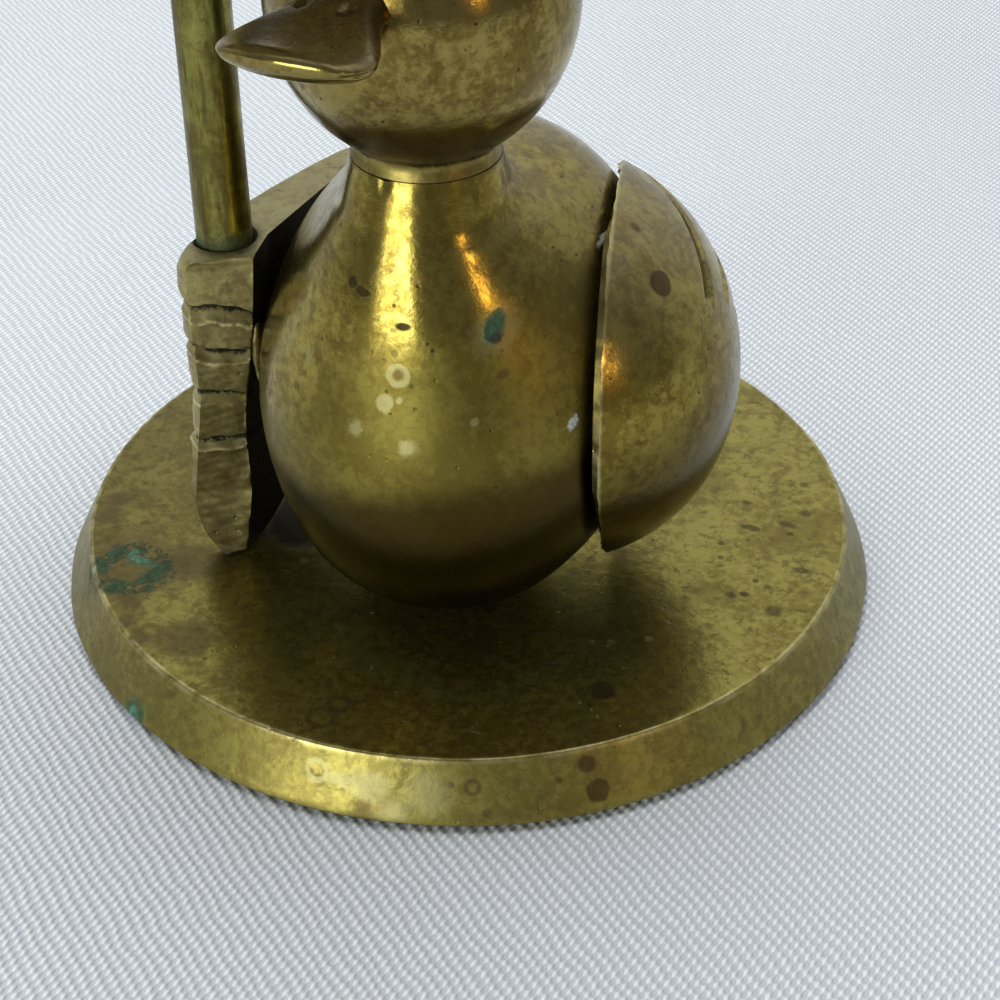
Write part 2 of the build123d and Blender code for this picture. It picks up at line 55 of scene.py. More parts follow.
# Body: an egg of three rounds that leans back, with a cone from the neck's seam down into it
EGG_CENTRE = np.array([4.4, -9.9, 35.2234])
EGG_RADIUS = 22.9
EGG_END = 19.6024
EGG_UP = 9.1976
EGG_ACROSS = (EGG_UP**2 - (EGG_RADIUS - EGG_END) ** 2) / (2 * (EGG_RADIUS - EGG_END))
EGG_LEAN = math.radians(62.0)
NECK = np.array([4.4, -17.5])
NECK_RADIUS = 7.9
SEAM_HEIGHT = 64.907
SHOULDER_RADIUS = 12.6
SHOULDER_DROP = 20.1
SHOULDER_BLEND = 7.0
SHOULDER_LEAN = 0.3
SHOULDER_FADE = 0.02
SHOULDER_FADE_FROM = 10.0
HEAD_RADIUS = 15.6
HEAD_HEIGHT = 81.707
EYE_TURN = math.radians(52.0)
EYE_RISE = math.radians(24.0)

# Holding wing: its outline is given as shares of its thickness and length
WING_FACE = -17.9
WING_FRONT = -23.182
WING_FLOOR = 8.2
WING_TOP = 48.5
WING_LENGTH = 40.3
WING_HEIGHT = 40.3
WING_THICK = 8.1
WING_ROUND = 2.2
WING_WIDEST = 0.79
WING_OUTLINE_OUT = np.array([0.66, 0.78, 0.90, 0.97, 1.0, 1.0, 0.955, 0.84, 0.66, 0.40, 0.18])
WING_OUTLINE_ALONG = np.array([0.0, 0.010, 0.030, 0.070, 0.125, 0.20, 0.33, 0.50, 0.69, 0.88, 1.0])
CORNER_BACK = 0.097
HEEL_DEPTH = 3.9
HEEL_HEIGHT = 8.5
# each feather's end: the split's height over the wing's floor, the ledge's height and the split's depth
FEATHER_ENDS = ((34.46, 2.1, 1.25), (29.0, 1.9, 1.35), (22.8, 2.0, 1.25), (16.1, 1.5, 1.2))
LIP_HEIGHT = 0.26
IN_FROM_FRONT = np.array((-0.46, 0.89, 0))
IN_FROM_SIDE = np.array((0.85, 0.5, 0))

# Resting wing: a cap cut from a ball, turned a little to the duck's rear
DOME_CENTRE = np.array([9.8, -4.0, 34.8234])
DOME_RADIUS = 24.3
DOME_CUT = 9.5
DOME_TURN = math.radians(17.4)
DOME_TILT = math.radians(1.0)
DOME_OUT = np.array([
    math.cos(DOME_TILT) * math.cos(DOME_TURN), math.cos(DOME_TILT) * math.sin(DOME_TURN), math.sin(DOME_TILT)])
DOME_FULLER = 1.35
SLIT_DEPTH = 1.6
SLIT_WIDTH = 0.66

# Umbrella
SHAFT = np.array([-22.05, -16.382])
SHAFT_RADIUS = 3.175
SOCKET_FLOOR = 33.5
SOCKET_RADIUS = 3.26
COLLAR_LOW = 118.0
COLLAR_TOP = 121.0
JOURNAL_TOP = 129.0
JOURNAL_RADIUS = 2.4
BORE_RADIUS = 2.46
HUB_RADIUS = 5.5
FINIAL_LOW = 125.3
RIBS = 8
WIRE_RADIUS = 0.8
CANOPY_RADIUS = 42.0
CANOPY_RISE = 17.0
CANOPY_TOP = 125.0
CANOPY_WALL = 1.4
CANOPY_BALL = (CANOPY_RADIUS**2 + CANOPY_RISE**2) / (2 * CANOPY_RISE)
HEM_DEPTH = 1.9


# Making meshes

def new_piece(name, points, faces, smooth_angle=35.0):
    """A mesh from points in millimetres, shaded smooth up to an angle."""
    data = bpy.data.meshes.new(name)
    data.from_pydata([tuple(p) for p in np.asarray(points, float) * MM], [], faces)
    data.validate()
    data.shade_smooth()
    data.set_sharp_from_angle(angle=math.radians(smooth_angle))
    piece = bpy.data.objects.new(name, data)
    scene.collection.objects.link(piece)
    return piece


def stack_faces(rings, around):
    """Faces between rings of points, each ring with the same number of points."""
    faces = []
    for r in range(rings - 1):
        low = r * around
        high = low + around
        for a in range(around):
            b = (a + 1) % around
            faces.append((low + a, low + b, high + b, high + a))
    return faces


def ring_piece(name, rings, smooth_angle=35.0):
    """A closed piece from rings of points, its two ends closed to their middles."""
    rings = np.asarray(rings, float)
    count, around, _ = rings.shape
    points = rings.reshape(-1, 3)
    faces = stack_faces(count, around)
    start, end = rings[0].mean(0), rings[-1].mean(0)
    points = np.vstack([points, start, end])
    s, e = count * around, count * around + 1
    top = (count - 1) * around
    for a in range(around):
        b = (a + 1) % around
        faces.append((s, b, a))
        faces.append((e, top + a, top + b))
    return new_piece(name, points, faces, smooth_angle)


def lathe(name, profile, x=0.0, y=0.0, around=128, unevenness=0.0, smooth_angle=35.0):
    """A turned piece from a profile of (radius, height), from its bottom to its top."""
    turn = np.linspace(0, 2 * math.pi, around, endpoint=False)
    rings = []
    for radius, height in profile:
        ring = np.stack([radius * np.cos(turn), radius * np.sin(turn), np.full(around, height)], -1)
        rings.append(ring)
    rings = np.array(rings)
    if unevenness:
        out = rings.copy()
        out[..., 2] = 0
        size = np.linalg.norm(out, axis=-1, keepdims=True) + 1e-9
        rings = rings + out / size * waves(rings, 14.0, unevenness)[..., None]
    rings[..., 0] += x
    rings[..., 1] += y
    return ring_piece(name, rings, smooth_angle)


def waves(points, length, amount, seed=3):
    """Gentle hand-made unevenness, as a sum of waves with about one length."""
    rng = np.random.default_rng(seed)
    total = np.zeros(points.shape[:-1])
    for _ in range(6):
        way = rng.normal(size=points.shape[-1])
        way /= np.linalg.norm(way)
        step = 2 * math.pi / (length * rng.uniform(0.7, 1.5))
        total += np.sin(points @ way * step + rng.uniform(0, 6.28))
    return total * amount / 2.5


def arc(centre, radius, start, end, steps):
    """Points of a round, from one angle to another in degrees."""
    turns = np.radians(np.linspace(start, end, steps))
    return [(centre[0] + radius * math.cos(t), centre[1] + radius * math.sin(t)) for t in turns]


def smooth_low(a, b, size):
    """The lower of two values, rounded where they meet."""
    share = np.clip(0.5 + 0.5 * (b - a) / size, 0, 1)
    return b * (1 - share) + a * share - size * share * (1 - share)


def bump(x, middle, width):
    """A smooth hill of height 1 at a place."""
    return np.exp(-(((x - middle) / width) ** 2))


# The shape of the body, that the wings lie against

def egg_gap(p, grow=0.0):
    """How far points are outside the egg."""
    d = p - EGG_CENTRE
    along = np.abs(d[..., 1] * math.cos(EGG_LEAN) + d[..., 2] * math.sin(EGG_LEAN))
    out = np.hypot(d[..., 0], d[..., 2] * math.cos(EGG_LEAN) - d[..., 1] * math.sin(EGG_LEAN))
    at_end = np.arctan2(along, out + EGG_ACROSS) > math.atan2(EGG_UP, EGG_ACROSS)
    end = np.hypot(out, along - EGG_UP) - EGG_END
    side = np.hypot(out + EGG_ACROSS, along) - EGG_ACROSS - EGG_RADIUS
    return np.where(at_end, end, side) - grow


def shoulder_gap(p):
    """How far points are outside the cone between neck and body."""
    drop = SEAM_HEIGHT - p[..., 2]
    slope = (SHOULDER_RADIUS - NECK_RADIUS) / SHOULDER_DROP
    wide = NECK_RADIUS + drop * slope
    forward = SHOULDER_LEAN * np.sin(math.pi * np.clip(drop / SHOULDER_DROP, 0, 1))
    out = np.hypot(p[..., 0] - NECK[0], p[..., 1] - NECK[1] + forward) - wide
    return out + SHOULDER_FADE * np.clip(drop - SHOULDER_FADE_FROM, 0, None) ** 2


def body_gap(p):
    """How far points are outside the body, where egg and cone run into each other."""
    near_seam = np.clip((SEAM_HEIGHT - p[..., 2]) / SHOULDER_BLEND, 0.02, 1)
    gap = smooth_low(egg_gap(p), shoulder_gap(p), SHOULDER_BLEND * near_seam)
    return np.maximum(gap, BASE_TOP + 0.02 - p[..., 2])


def march(origin, ways, gap, reach=70.0):
    """Where rays from inside a shape leave it."""
    low = np.zeros(ways.shape[:-1])
    high = np.full(ways.shape[:-1], reach)
    for _ in range(40):
        middle = (low + high) / 2
        outside = gap(origin + ways * middle[..., None]) > 0
        high = np.where(outside, middle, high)
        low = np.where(outside, low, middle)
    return origin + ways * low[..., None]


def make_body():
    """The hollow body's outside, from the neck's seam down to the base."""
    around, down = 256, 180
    heart = np.array([4.4, -13.5, 36.0])
    turn = np.linspace(0, 2 * math.pi, around, endpoint=False)
    ring = np.stack([
        NECK[0] + NECK_RADIUS * np.cos(turn), NECK[1] + NECK_RADIUS * np.sin(turn),
        np.full(around, SEAM_HEIGHT - 0.02)], -1)
    first = ring - heart
    first /= np.linalg.norm(first, axis=1, keepdims=True)
    last = np.array([0.0, 0.0, -1.0])
    inner = ring.copy()
    inner[:, :2] = NECK + (ring[:, :2] - NECK) * 0.965
    rings = [inner, ring]
    for share in np.linspace(0, 1, down)[1:-1]:
        angle = np.arccos(np.clip(first @ last, -1, 1))[:, None]
        ways = (np.sin((1 - share) * angle) * first + np.sin(share * angle) * last) / np.sin(angle)
        rings.append(march(heart, ways, body_gap))
    rings = np.array(rings)
    out = rings - heart
    out /= np.linalg.norm(out, axis=-1, keepdims=True)
    # the faint waviness of hand filing, and a chip in the lip under the seam
    z = rings[..., 2]
    fade = np.clip((SEAM_HEIGHT - z) / 6.0, 0, 1) * np.clip((z - BASE_TOP) / 3.0, 0, 1)
    rings += out * (waves(rings, 17.0, 0.05) * fade)[..., None]
    chip = np.linalg.norm(rings - np.array([3.6, -25.6, 64.6]), axis=-1)
    rings -= out * (0.35 * np.exp(-((chip / 0.7) ** 2)))[..., None]
    return ring_piece("duck_body", rings[::-1], 50.0)


def make_head():
    """The head's outside: a short waist, then a ball that is a little longer below than above."""
    low = SEAM_HEIGHT + 0.03
    neck = NECK_RADIUS - 0.04
    underside = low + 2.05
    fall = (HEAD_HEIGHT - underside) / math.sqrt(1 - (NECK_RADIUS / HEAD_RADIUS) ** 2)
    waist = ((0.08, 0.0), (0.0, 0.05), (0.06, 0.3), (0.24, 0.75), (0.36, 1.2), (0.30, 1.6), (0.12, 1.88))
    profile = [(0.3, low)] + [(neck - narrower, low + h) for narrower, h in waist]
    for t in np.linspace(math.acos(NECK_RADIUS / HEAD_RADIUS), 0.02, 60):
        profile.append((HEAD_RADIUS * math.cos(t), HEAD_HEIGHT - fall * math.sin(t)))
    profile += arc((0, HEAD_HEIGHT), HEAD_RADIUS, 0, 89.6, 60)
    return lathe("duck_head", profile, NECK[0], NECK[1], 192, 0.04, 60.0)


def lens_rings(stations, sections, around):
    """Oval rings along Y, through sections given as (place, half width, half height, height)."""
    known = np.array(sections, float)
    order = len(sections) - 1
    wide, tall, mid = (
        np.polyval(np.polyfit(known[:, 0], known[:, k], order), stations) for k in (1, 2, 3))
    turn = np.linspace(0, 2 * math.pi, around, endpoint=False)
    rings = np.zeros((len(stations), around, 3))
    rings[..., 0] = wide[:, None] * np.cos(turn)
    rings[..., 1] = np.asarray(stations)[:, None]
    rings[..., 2] = tall[:, None] * np.sin(turn)
    return rings, mid


def make_bill():
    """The bill: a flat spoon with a mouth line along its sides and two nostrils."""
    front = NECK[1] - HEAD_RADIUS
    middle = HEAD_HEIGHT + 2.6
    sections = [(-5.0, 6.8, 3.6, 0.0), (4.0, 6.0, 2.7, 0.0), (9.5, 7.4, 1.9, 0.0), (13.0, 4.4, 1.1, 0.9)]
    reach = np.concatenate([np.linspace(-3.0, 11.6, 70), 11.6 + 1.4 * np.sin(np.linspace(0.1, 1.52, 12))])
    rings, mid = lens_rings(reach, sections, 120)
    rounding = np.sqrt(np.clip(1 - (np.clip(reach - 11.6, 0, None) / 1.4) ** 2, 0.0, 1))[:, None]
    rings[..., 0] *= rounding
    rings[..., 2] *= rounding
    # the mouth line a little below the middle, and the nostrils on top
    mouth = bump(rings[..., 2], -0.25, 0.22) * np.clip((12.2 - rings[..., 1]) / 2.0, 0, 1)
    rings[..., 0] -= np.sign(rings[..., 0]) * 0.42 * mouth * (np.abs(rings[..., 0]) > 1.0)
    for side in (-1, 1):
        hole = bump(rings[..., 0], side * 2.1, 0.5) * bump(rings[..., 1], 3.2, 0.95) * (rings[..., 2] > 0)
        rings[..., 2] -= 0.5 * hole
    rings[..., 2] += mid[:, None] + middle
    rings[..., 0] += NECK[0]
    rings[..., 1] = front - rings[..., 1]
    return ring_piece("duck_bill", rings, 45.0)


def make_tail():
    """The tail: a short fan that turns up, with a groove between its feathers and notches in its tip."""
    low = EGG_CENTRE[2] - 8.0
    start = np.array([NECK[0], EGG_CENTRE[1], low])
    rear = march(start, np.array([[0.0, 1.0, 0.0]]), egg_gap)[0][1]
    sections = [(-4.0, 8.0, 5.0, 0.0), (7.5, 8.0, 3.0, 3.0), (15.0, 6.0, 1.3, 9.0)]
    reach = np.concatenate([np.linspace(-2.5, 14.4, 80), 14.4 + 0.55 * np.sin(np.linspace(0.1, 1.5, 8))])
    rings, mid = lens_rings(reach, sections, 120)
    rounding = np.sqrt(np.clip(1 - (np.clip(reach - 14.4, 0, None) / 0.6) ** 2, 0.05, 1))[:, None]
    rings[..., 2] *= rounding
    tip = np.clip((rings[..., 1] - 2.0) / 6.0, 0, 1)
    for side in (-1, 1):
        line = bump(rings[..., 0], side * (1.4 + 0.6 * rings[..., 1] / 15.0), 0.38)
        rings[..., 2] -= np.sign(rings[..., 2]) * np.minimum(0.45, 0.5 * np.abs(rings[..., 2])) * line * tip
        near_tip = np.clip((rings[..., 1] - 11.0) / 4.0, 0, 1)
        rings[..., 1] -= 2.6 * bump(rings[..., 0], side * 2.0, 0.5) * near_tip
    rings[..., 1] -= 0.035 * rings[..., 0] ** 2 * np.clip(rings[..., 1] / 15.0, 0, 1)
    rings[..., 2] += mid[:, None] + low
    rings[..., 0] += NECK[0]
    rings[..., 1] += rear
    return ring_piece("duck_tail", rings[::-1], 45.0)


def make_eye(side):
    """An eye: a round-headed pin in a shallow turned ring."""
    profile = [(0.2, -0.6), (2.1, -0.6), (2.1, 0.12), (1.95, 0.3), (1.75, 0.34), (1.62, 0.26)]
    profile += [(1.6 * math.cos(t), 0.22 + 0.86 * math.sin(t)) for t in np.linspace(0.05, 1.5, 12)]
    turn = np.linspace(0, 2 * math.pi, 48, endpoint=False)
    rings = np.array([np.stack([r * np.cos(turn), r * np.sin(turn), np.full(48, h)], -1) for r, h in profile])
    turned = EYE_TURN * side
    level = math.cos(EYE_RISE)
    way = np.array([math.sin(turned) * level, -math.cos(turned) * level, math.sin(EYE_RISE)])
    across = np.cross([0, 0, 1.0], way)
    across /= np.linalg.norm(across)
    up = np.cross(way, across)
    middle = np.array([NECK[0], NECK[1], HEAD_HEIGHT]) + way * (HEAD_RADIUS - 0.02)
    rings = middle + rings[..., :1] * across + rings[..., 1:2] * up + rings[..., 2:] * way
    return ring_piece("left_eye_pin" if side > 0 else "right_eye_pin", rings, 50.0)


def make_base():
    """The turned base: a bevelled side, a worn rim and a flat top."""
    r = RIM_ROUND
    slope = math.atan2(FOOT_RADIUS - RIM_RADIUS, BASE_TOP - FELT_TOP)
    rim = (RIM_RADIUS - r * 0.75, BASE_TOP - r)
    profile = [(0.5, FELT_TOP)] + [(s, FELT_TOP) for s in (20, 40, 48, 50.2)]
    profile += [(50.62, FELT_TOP + 0.06), (FOOT_RADIUS - 0.02, FELT_TOP + 0.3)]
    start = np.array([FOOT_RADIUS - 0.1, FELT_TOP + 0.6])
    end = np.array([rim[0] + r * math.cos(slope), rim[1] + r * math.sin(slope)])
    profile += [tuple(start + (end - start) * s) for s in np.linspace(0, 1, 12)]
    profile += arc(rim, r, math.degrees(slope), 90, 8)[1:]
    profile += [(s, BASE_TOP) for s in np.linspace(rim[0], 0.4, 60)[1:]]
    return lathe("base_disc", profile, 0, 0, 320, 0.035, 30.0)


def make_felt():
    """The felt pad, with a slightly ragged edge."""
    around = 720
    turn = np.linspace(0, 2 * math.pi, around, endpoint=False)
    rng = np.random.default_rng(7)
    rag = rng.normal(size=(6, around)) * 0.10
    rag = (rag + np.roll(rag, 1, 1) + np.roll(rag, -1, 1)) / 2
    rings = []
    profile = [(20, 0), (45, 0), (49.3, 0.0), (49.5, 0.25), (49.45, 0.6), (49.2, 0.79), (45, 0.79), (20, 0.79)]
    for k, (radius, height) in enumerate(profile):
        wide = radius + (rag[k % 6] if radius > 49 else 0)
        rings.append(np.stack([wide * np.cos(turn), wide * np.sin(turn), np.full(around, float(height))], -1))
    return ring_piece("base_felt_pad", rings)


def feather_steps(points):
    """How far points of the wing's front are under each feather's end, with the ledge there and its depth."""
    out = (WING_FACE - points[..., 0]) / WING_THICK
    for k, (height, ledge, depth) in enumerate(FEATHER_ENDS):
        # a split runs about 2 mm down towards the body, and not quite straight
        level = WING_FLOOR + height + 1.15 * (2 * np.clip(out, -0.2, 1.1) - 1)
        level = level + 0.26 * np.sin(out * 7.0 + 2.1 * k) + 0.12 * np.sin(out * 19.0 + 1.3 * k)
        yield level - points[..., 2], ledge, depth


def feather_cut(rings):
    """How deep the wing's front is cut: a sharp split, a sloping ledge under it, and a raised lip."""
    cut = np.zeros(rings.shape[:-1])
    for under, tall, deep in feather_steps(rings):
        above = np.clip((under + 0.22) / 0.22, 0, 1)
        below = np.clip(1 - under / tall, 0, 1) ** 0.9
        cut = np.maximum(cut, deep * np.where(under < 0, above, below))
        cut = cut - LIP_HEIGHT * np.exp(-(((under - tall - 0.2) / 0.45) ** 2))
    return cut


def mark_points(piece, name, values):
    """Keeps a value for each point of a piece, for its finish to read."""
    store = piece.data.attributes.new(name, "FLOAT", "POINT")
    store.data.foreach_set("value", values.astype(np.float32))


def mark_feathers(wing):
    """Marks on the wing's points where shade is painted in the splits and where a highlight is painted on the
    lips.
    """
    count = len(wing.data.vertices)
    points = np.zeros(count * 3)
    wing.data.vertices.foreach_get("co", points)
    points = points.reshape(-1, 3) / MM
    shade_and_soot, bright = np.zeros(count), np.zeros(count)
    for under, tall, _ in feather_steps(points):
        # painted shade in each split and just under it
        shade_and_soot = np.maximum(shade_and_soot, np.exp(-((np.clip(under - 0.15, 0, None) / 0.7) ** 2)) * (under > -0.25))
        # a painted highlight along each feather's lip
        bright = np.maximum(bright, np.exp(-(((under - tall - 0.1) / 0.32) ** 2)))
    front = np.exp(-((np.clip(points[:, 1] + 20.5, 0, None) / 7.0) ** 2))
    mark_points(wing, "shade_and_soot", shade_and_soot * front)
    mark_points(wing, "lip_highlight", bright * front)


def wing_reach(level):
    """How far the wing reaches to the rear at a share of its height, as a share of its length."""
    if level > WING_WIDEST:
        return 1.0 - 0.17 * ((level - WING_WIDEST) / (1 - WING_WIDEST)) ** 2.2
    return 0.17 + 0.83 * (level / WING_WIDEST) ** 0.62


def wing_sides(h, along):
    """How far the wing's outer and inner sides stand out at a height over its floor."""
    level = h / WING_HEIGHT
    lean_out = (1 - level) * WING_HEIGHT * math.tan(math.radians(0.9))
    lean_in = (1 - level) * WING_HEIGHT * math.tan(math.radians(4.2))
    square = 0.30 * np.clip((22.0 - h) / 14.0, 0, 1) * np.clip(1 - WING_OUTLINE_ALONG / 0.10, 0, 1)
    out = np.interp(along, WING_OUTLINE_ALONG, WING_OUTLINE_OUT + square) * WING_THICK - lean_out
    over = max(0.0, h - (WING_HEIGHT - WING_ROUND))
    out -= (WING_ROUND - math.sqrt(max(WING_ROUND**2 - over**2, 0))) * 0.85
    nose = -1.3 * np.clip((0.23 - along) / (0.23 - CORNER_BACK), 0, 1)
    inner = np.maximum(nose, lean_in - 1.3) + 1.1 * bump(h, 18.0, 9.0) + 0.5 * (1 - level)
    heel = HEEL_DEPTH * (1 - math.sqrt(1 - max(0, 1 - h / HEEL_HEIGHT) ** 2))
    return np.maximum(out - heel, inner + 1.6), inner


def wing_ring(h, count):
    """The wing's outline at a height: the outer side, the inner side, and the front between them."""
    s = np.linspace(0, 1, count) ** 1.5
    reach = wing_reach(h / WING_HEIGHT)
    along = reach * s
    out, inner = wing_sides(h, along)
    # the rear edge is round
    edge = np.clip((1 - s) * reach * WING_LENGTH / 1.6, 0, 1)
    middle = (out + inner) / 2
    half = np.maximum((out - inner) / 2, 0.3) * np.sqrt(np.clip(1 - (1 - edge) ** 2, 0.02, 1))
    out, inner = middle + half, middle - half
    lip = 0.35 * max(0.0, 1 - (WING_HEIGHT - h) / 0.35) ** 2
    level = np.full(count, WING_FLOOR + h)
    outside = np.stack([WING_FACE - out, WING_FRONT + along * WING_LENGTH + lip, level], -1)
    inside = np.stack([WING_FACE - inner, WING_FRONT + along * WING_LENGTH, level], -1)
    a, b = inside[0].copy(), outside[0].copy()
    a[1] = WING_FRONT + CORNER_BACK * WING_LENGTH * min(1.0, 0.55 + h / 18.0) + lip
    inside[:, 1] = np.maximum(inside[:, 1], a[1])
    front = [a + (b - a) * t for t in np.linspace(0.03, 0.97, 26)]
    return np.vstack([outside, inside[::-1], front])


def make_holding_wing():
    """The thick wing with five feather ends in front and the umbrella's socket in its top."""
    count = 50
    shoulder = WING_HEIGHT - WING_ROUND
    heights = np.concatenate([
        np.linspace(0.02, 0.7, 8), np.linspace(0.7, shoulder, 290)[1:],
        shoulder + WING_ROUND * np.sin(np.linspace(0, math.pi / 2, 16))[1:]])
    rings = np.array([wing_ring(h, count) for h in heights])
    # the cut is deepest in front and fades out along the outer side
    cut = feather_cut(rings)
    behind = np.clip(rings[..., 1] - WING_FRONT - 3.0, 0, None)
    reach = np.exp(-((behind / 8.5) ** 2))
    reach[:, count:2 * count] = 0
    reach[:, 2 * count:] = 1.0
    way = np.zeros(rings.shape)
    way[:, :count] = IN_FROM_SIDE
    way[:, 2 * count:] = IN_FROM_FRONT
    for k, share in enumerate(np.linspace(1, 0, 8)):
        way[:, k] = IN_FROM_FRONT * share + IN_FROM_SIDE * (1 - share)
    rings += way * (cut * reach)[..., None]
    dents = waves(rings, 3.2, 0.09, 11) + waves(rings, 1.3, 0.03, 12)
    rings += way * (dents * reach)[..., None]
    wing = ring_piece("holding_wing_plate", rings, 42.0)
    # the socket that the umbrella stands in, with a broken edge at its mouth
    profile = [(0.2, SOCKET_FLOOR), (SOCKET_RADIUS, SOCKET_FLOOR), (SOCKET_RADIUS, WING_TOP - 0.7),
               (3.75, WING_TOP - 0.05), (3.9, WING_TOP + 0.6), (0.2, WING_TOP + 0.6)]
    cut_away(wing, lathe("socket_cutter", profile, SHAFT[0], SHAFT[1], 64))
    mark_feathers(wing)
    return wing


def cut_away(piece, cutter):
    """Takes the cutter's shape out of a piece, which ends as a plain mesh, and deletes the cutter."""
    tool = piece.modifiers.new("socket", "BOOLEAN")
    tool.operation = "DIFFERENCE"
    tool.solver = "EXACT"
    tool.object = cutter
    graph = bpy.context.evaluated_depsgraph_get()
    data = bpy.data.meshes.new_from_object(piece.evaluated_get(graph))
    piece.modifiers.clear()
    piece.data = data
    data.shade_smooth()
    data.set_sharp_from_angle(angle=math.radians(42.0))
    bpy.data.objects.remove(cutter)


def dome_rings():
    """Rings of the resting wing, from the middle of its inner side round its edge to its crown."""
    side = np.cross([0, 0, 1.0], DOME_OUT)
    side /= np.linalg.norm(side)
    up = np.cross(DOME_OUT, side)
    around = 480
    phi = np.linspace(0, 2 * math.pi, around, endpoint=False)
    ring_way = np.cos(phi)[:, None] * side + np.sin(phi)[:, None] * up
    ragged = 0.04 * np.sin(phi * 37 + 1.0) + 0.03 * np.sin(phi * 61 + 2.0) + 0.05 * np.sin(phi * 11) \
        + 0.10 * np.sin(phi * 5 + 0.5)
    rings = []
    # inner side, hidden between wing and body, out to a filed edge
    flat_rim = math.sqrt(DOME_RADIUS**2 - DOME_CUT**2) - 0.75 - ragged
    for share in np.linspace(0.02, 1, 27) ** 0.8:
        flat = DOME_CENTRE + DOME_CUT * DOME_OUT + ring_way * (flat_rim * share)[:, None]
        low, high = np.zeros(around), np.full(around, 14.0)
        inside = egg_gap(flat, 0.85) < 0
        for _ in range(24):
            middle = (low + high) / 2
            clear = egg_gap(flat + DOME_OUT * middle[:, None], 0.85) > 0
            high = np.where(clear, middle, high)
            low = np.where(clear, low, middle)
        rings.append(flat + DOME_OUT * np.where(inside, high, 0.0)[:, None])
    first = math.asin(DOME_CUT / DOME_RADIUS) + (0.75 + ragged) / DOME_RADIUS
    for share in np.linspace(0, 1, 130):
        angle = first + (math.pi / 2 - 0.004 - first) * share
        across, out = DOME_RADIUS * np.cos(angle), DOME_RADIUS * np.sin(angle)
        rings.append(DOME_CENTRE + DOME_OUT * out[:, None] + ring_way * across[:, None])
    return np.array(rings)


def slit_carve(d):
    """1 in the slits, which follow great circles and start behind the wing's front."""
    carve = np.zeros(d.shape[:-1])
    lean = math.radians(15.5)
    for rise, aside in ((48.0, 1.35), (24.0, 0.6), (0.0, 0.0)):
        t = math.radians(rise)
        normal = np.array([-math.sin(lean), -math.cos(lean) * math.sin(t), math.cos(lean) * math.cos(t)])
        away = d @ normal - aside
        forward = d @ np.array([0, math.cos(t), math.sin(t)])
        start = np.clip((forward - 8.0) / 1.6, 0, 1)
        carve = np.maximum(carve, np.exp(-((away / SLIT_WIDTH) ** 4)) * start)
    return carve


def make_resting_wing():
    """The domed wing at the duck's left side, with slits between its feathers."""
    rings = dome_rings()
    # the cap is a little fuller at its lower front than a true ball
    d = rings - DOME_CENTRE
    far = np.linalg.norm(d, axis=-1)
    fuller = np.array([0.80, -0.12, -0.58])
    fuller /= np.linalg.norm(fuller)
    swell = np.exp(-((np.arccos(np.clip(d @ fuller / far, -1, 1)) / 0.62) ** 2))
    swell = swell * np.clip((far - 20.0) / 3.0, 0, 1)
    rings = rings + d / far[..., None] * (DOME_FULLER * swell)[..., None]
    outside = far > DOME_RADIUS - 0.05
    d = rings - DOME_CENTRE
    far = np.linalg.norm(d, axis=-1)
    carve = slit_carve(d)
    slit = DOME_CENTRE + d * (1 - carve * SLIT_DEPTH / far)[..., None]
    rings = np.where(outside[..., None], slit, rings)
    # the rear is trimmed to feather tips
    d = rings - DOME_CENTRE
    angle = np.degrees(np.arctan2(d[..., 2], d[..., 1]))
    tips = 19.2 - 1.6 * np.abs(np.sin(np.radians(angle * 180 / 24.0)))
    rings[..., 1] = np.minimum(rings[..., 1], DOME_CENTRE[1] + tips)
    dome = ring_piece("resting_wing_dome", rings, 38.0)
    depth = np.append(np.where(outside, carve, 0.0).ravel(), [0.0, 0.0])
    # the slits' depth, for painted shade in them
    mark_points(dome, "shade_and_soot", depth)
    return dome


def make_braze():
    """The lump of brazing metal between the holding wing and the body."""
    low, high = (np.array(v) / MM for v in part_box("holding_wing_braze"))
    middle, half = (low + high) / 2, (high - low) / 2
    turn = np.linspace(0, 2 * math.pi, 64, endpoint=False)
    rings = []
    for t in np.linspace(-1.53, 1.53, 48):
        ball = np.stack([math.cos(t) * np.cos(turn), math.cos(t) * np.sin(turn), np.full(64, math.sin(t))], -1)
        lumps = 0.90 + waves(ball * half, 4.0, 0.06, 21) + waves(ball * half, 1.6, 0.03, 22)
        rings.append(middle + half * ball * np.minimum(lumps, 1.0)[:, None])
    return ring_piece("braze_lump", np.array(rings), 60.0)


def make_shaft():
    """The umbrella's shaft, with the thinner journal that carries the canopy."""
    low = SOCKET_FLOOR
    profile = [(0.3, low), (SHAFT_RADIUS - 0.5, low), (SHAFT_RADIUS, low + 0.5)]
    profile += [(SHAFT_RADIUS, h) for h in np.linspace(low + 1, COLLAR_LOW - 0.3, 60)]
    profile += [(SHAFT_RADIUS - 0.3, COLLAR_LOW), (JOURNAL_RADIUS, COLLAR_LOW)]
    profile += [(JOURNAL_RADIUS, JOURNAL_TOP - 0.5), (JOURNAL_RADIUS - 0.5, JOURNAL_TOP), (0.2, JOURNAL_TOP)]
    return lathe("umbrella_rod", profile, SHAFT[0], SHAFT[1], 64, 0.03)


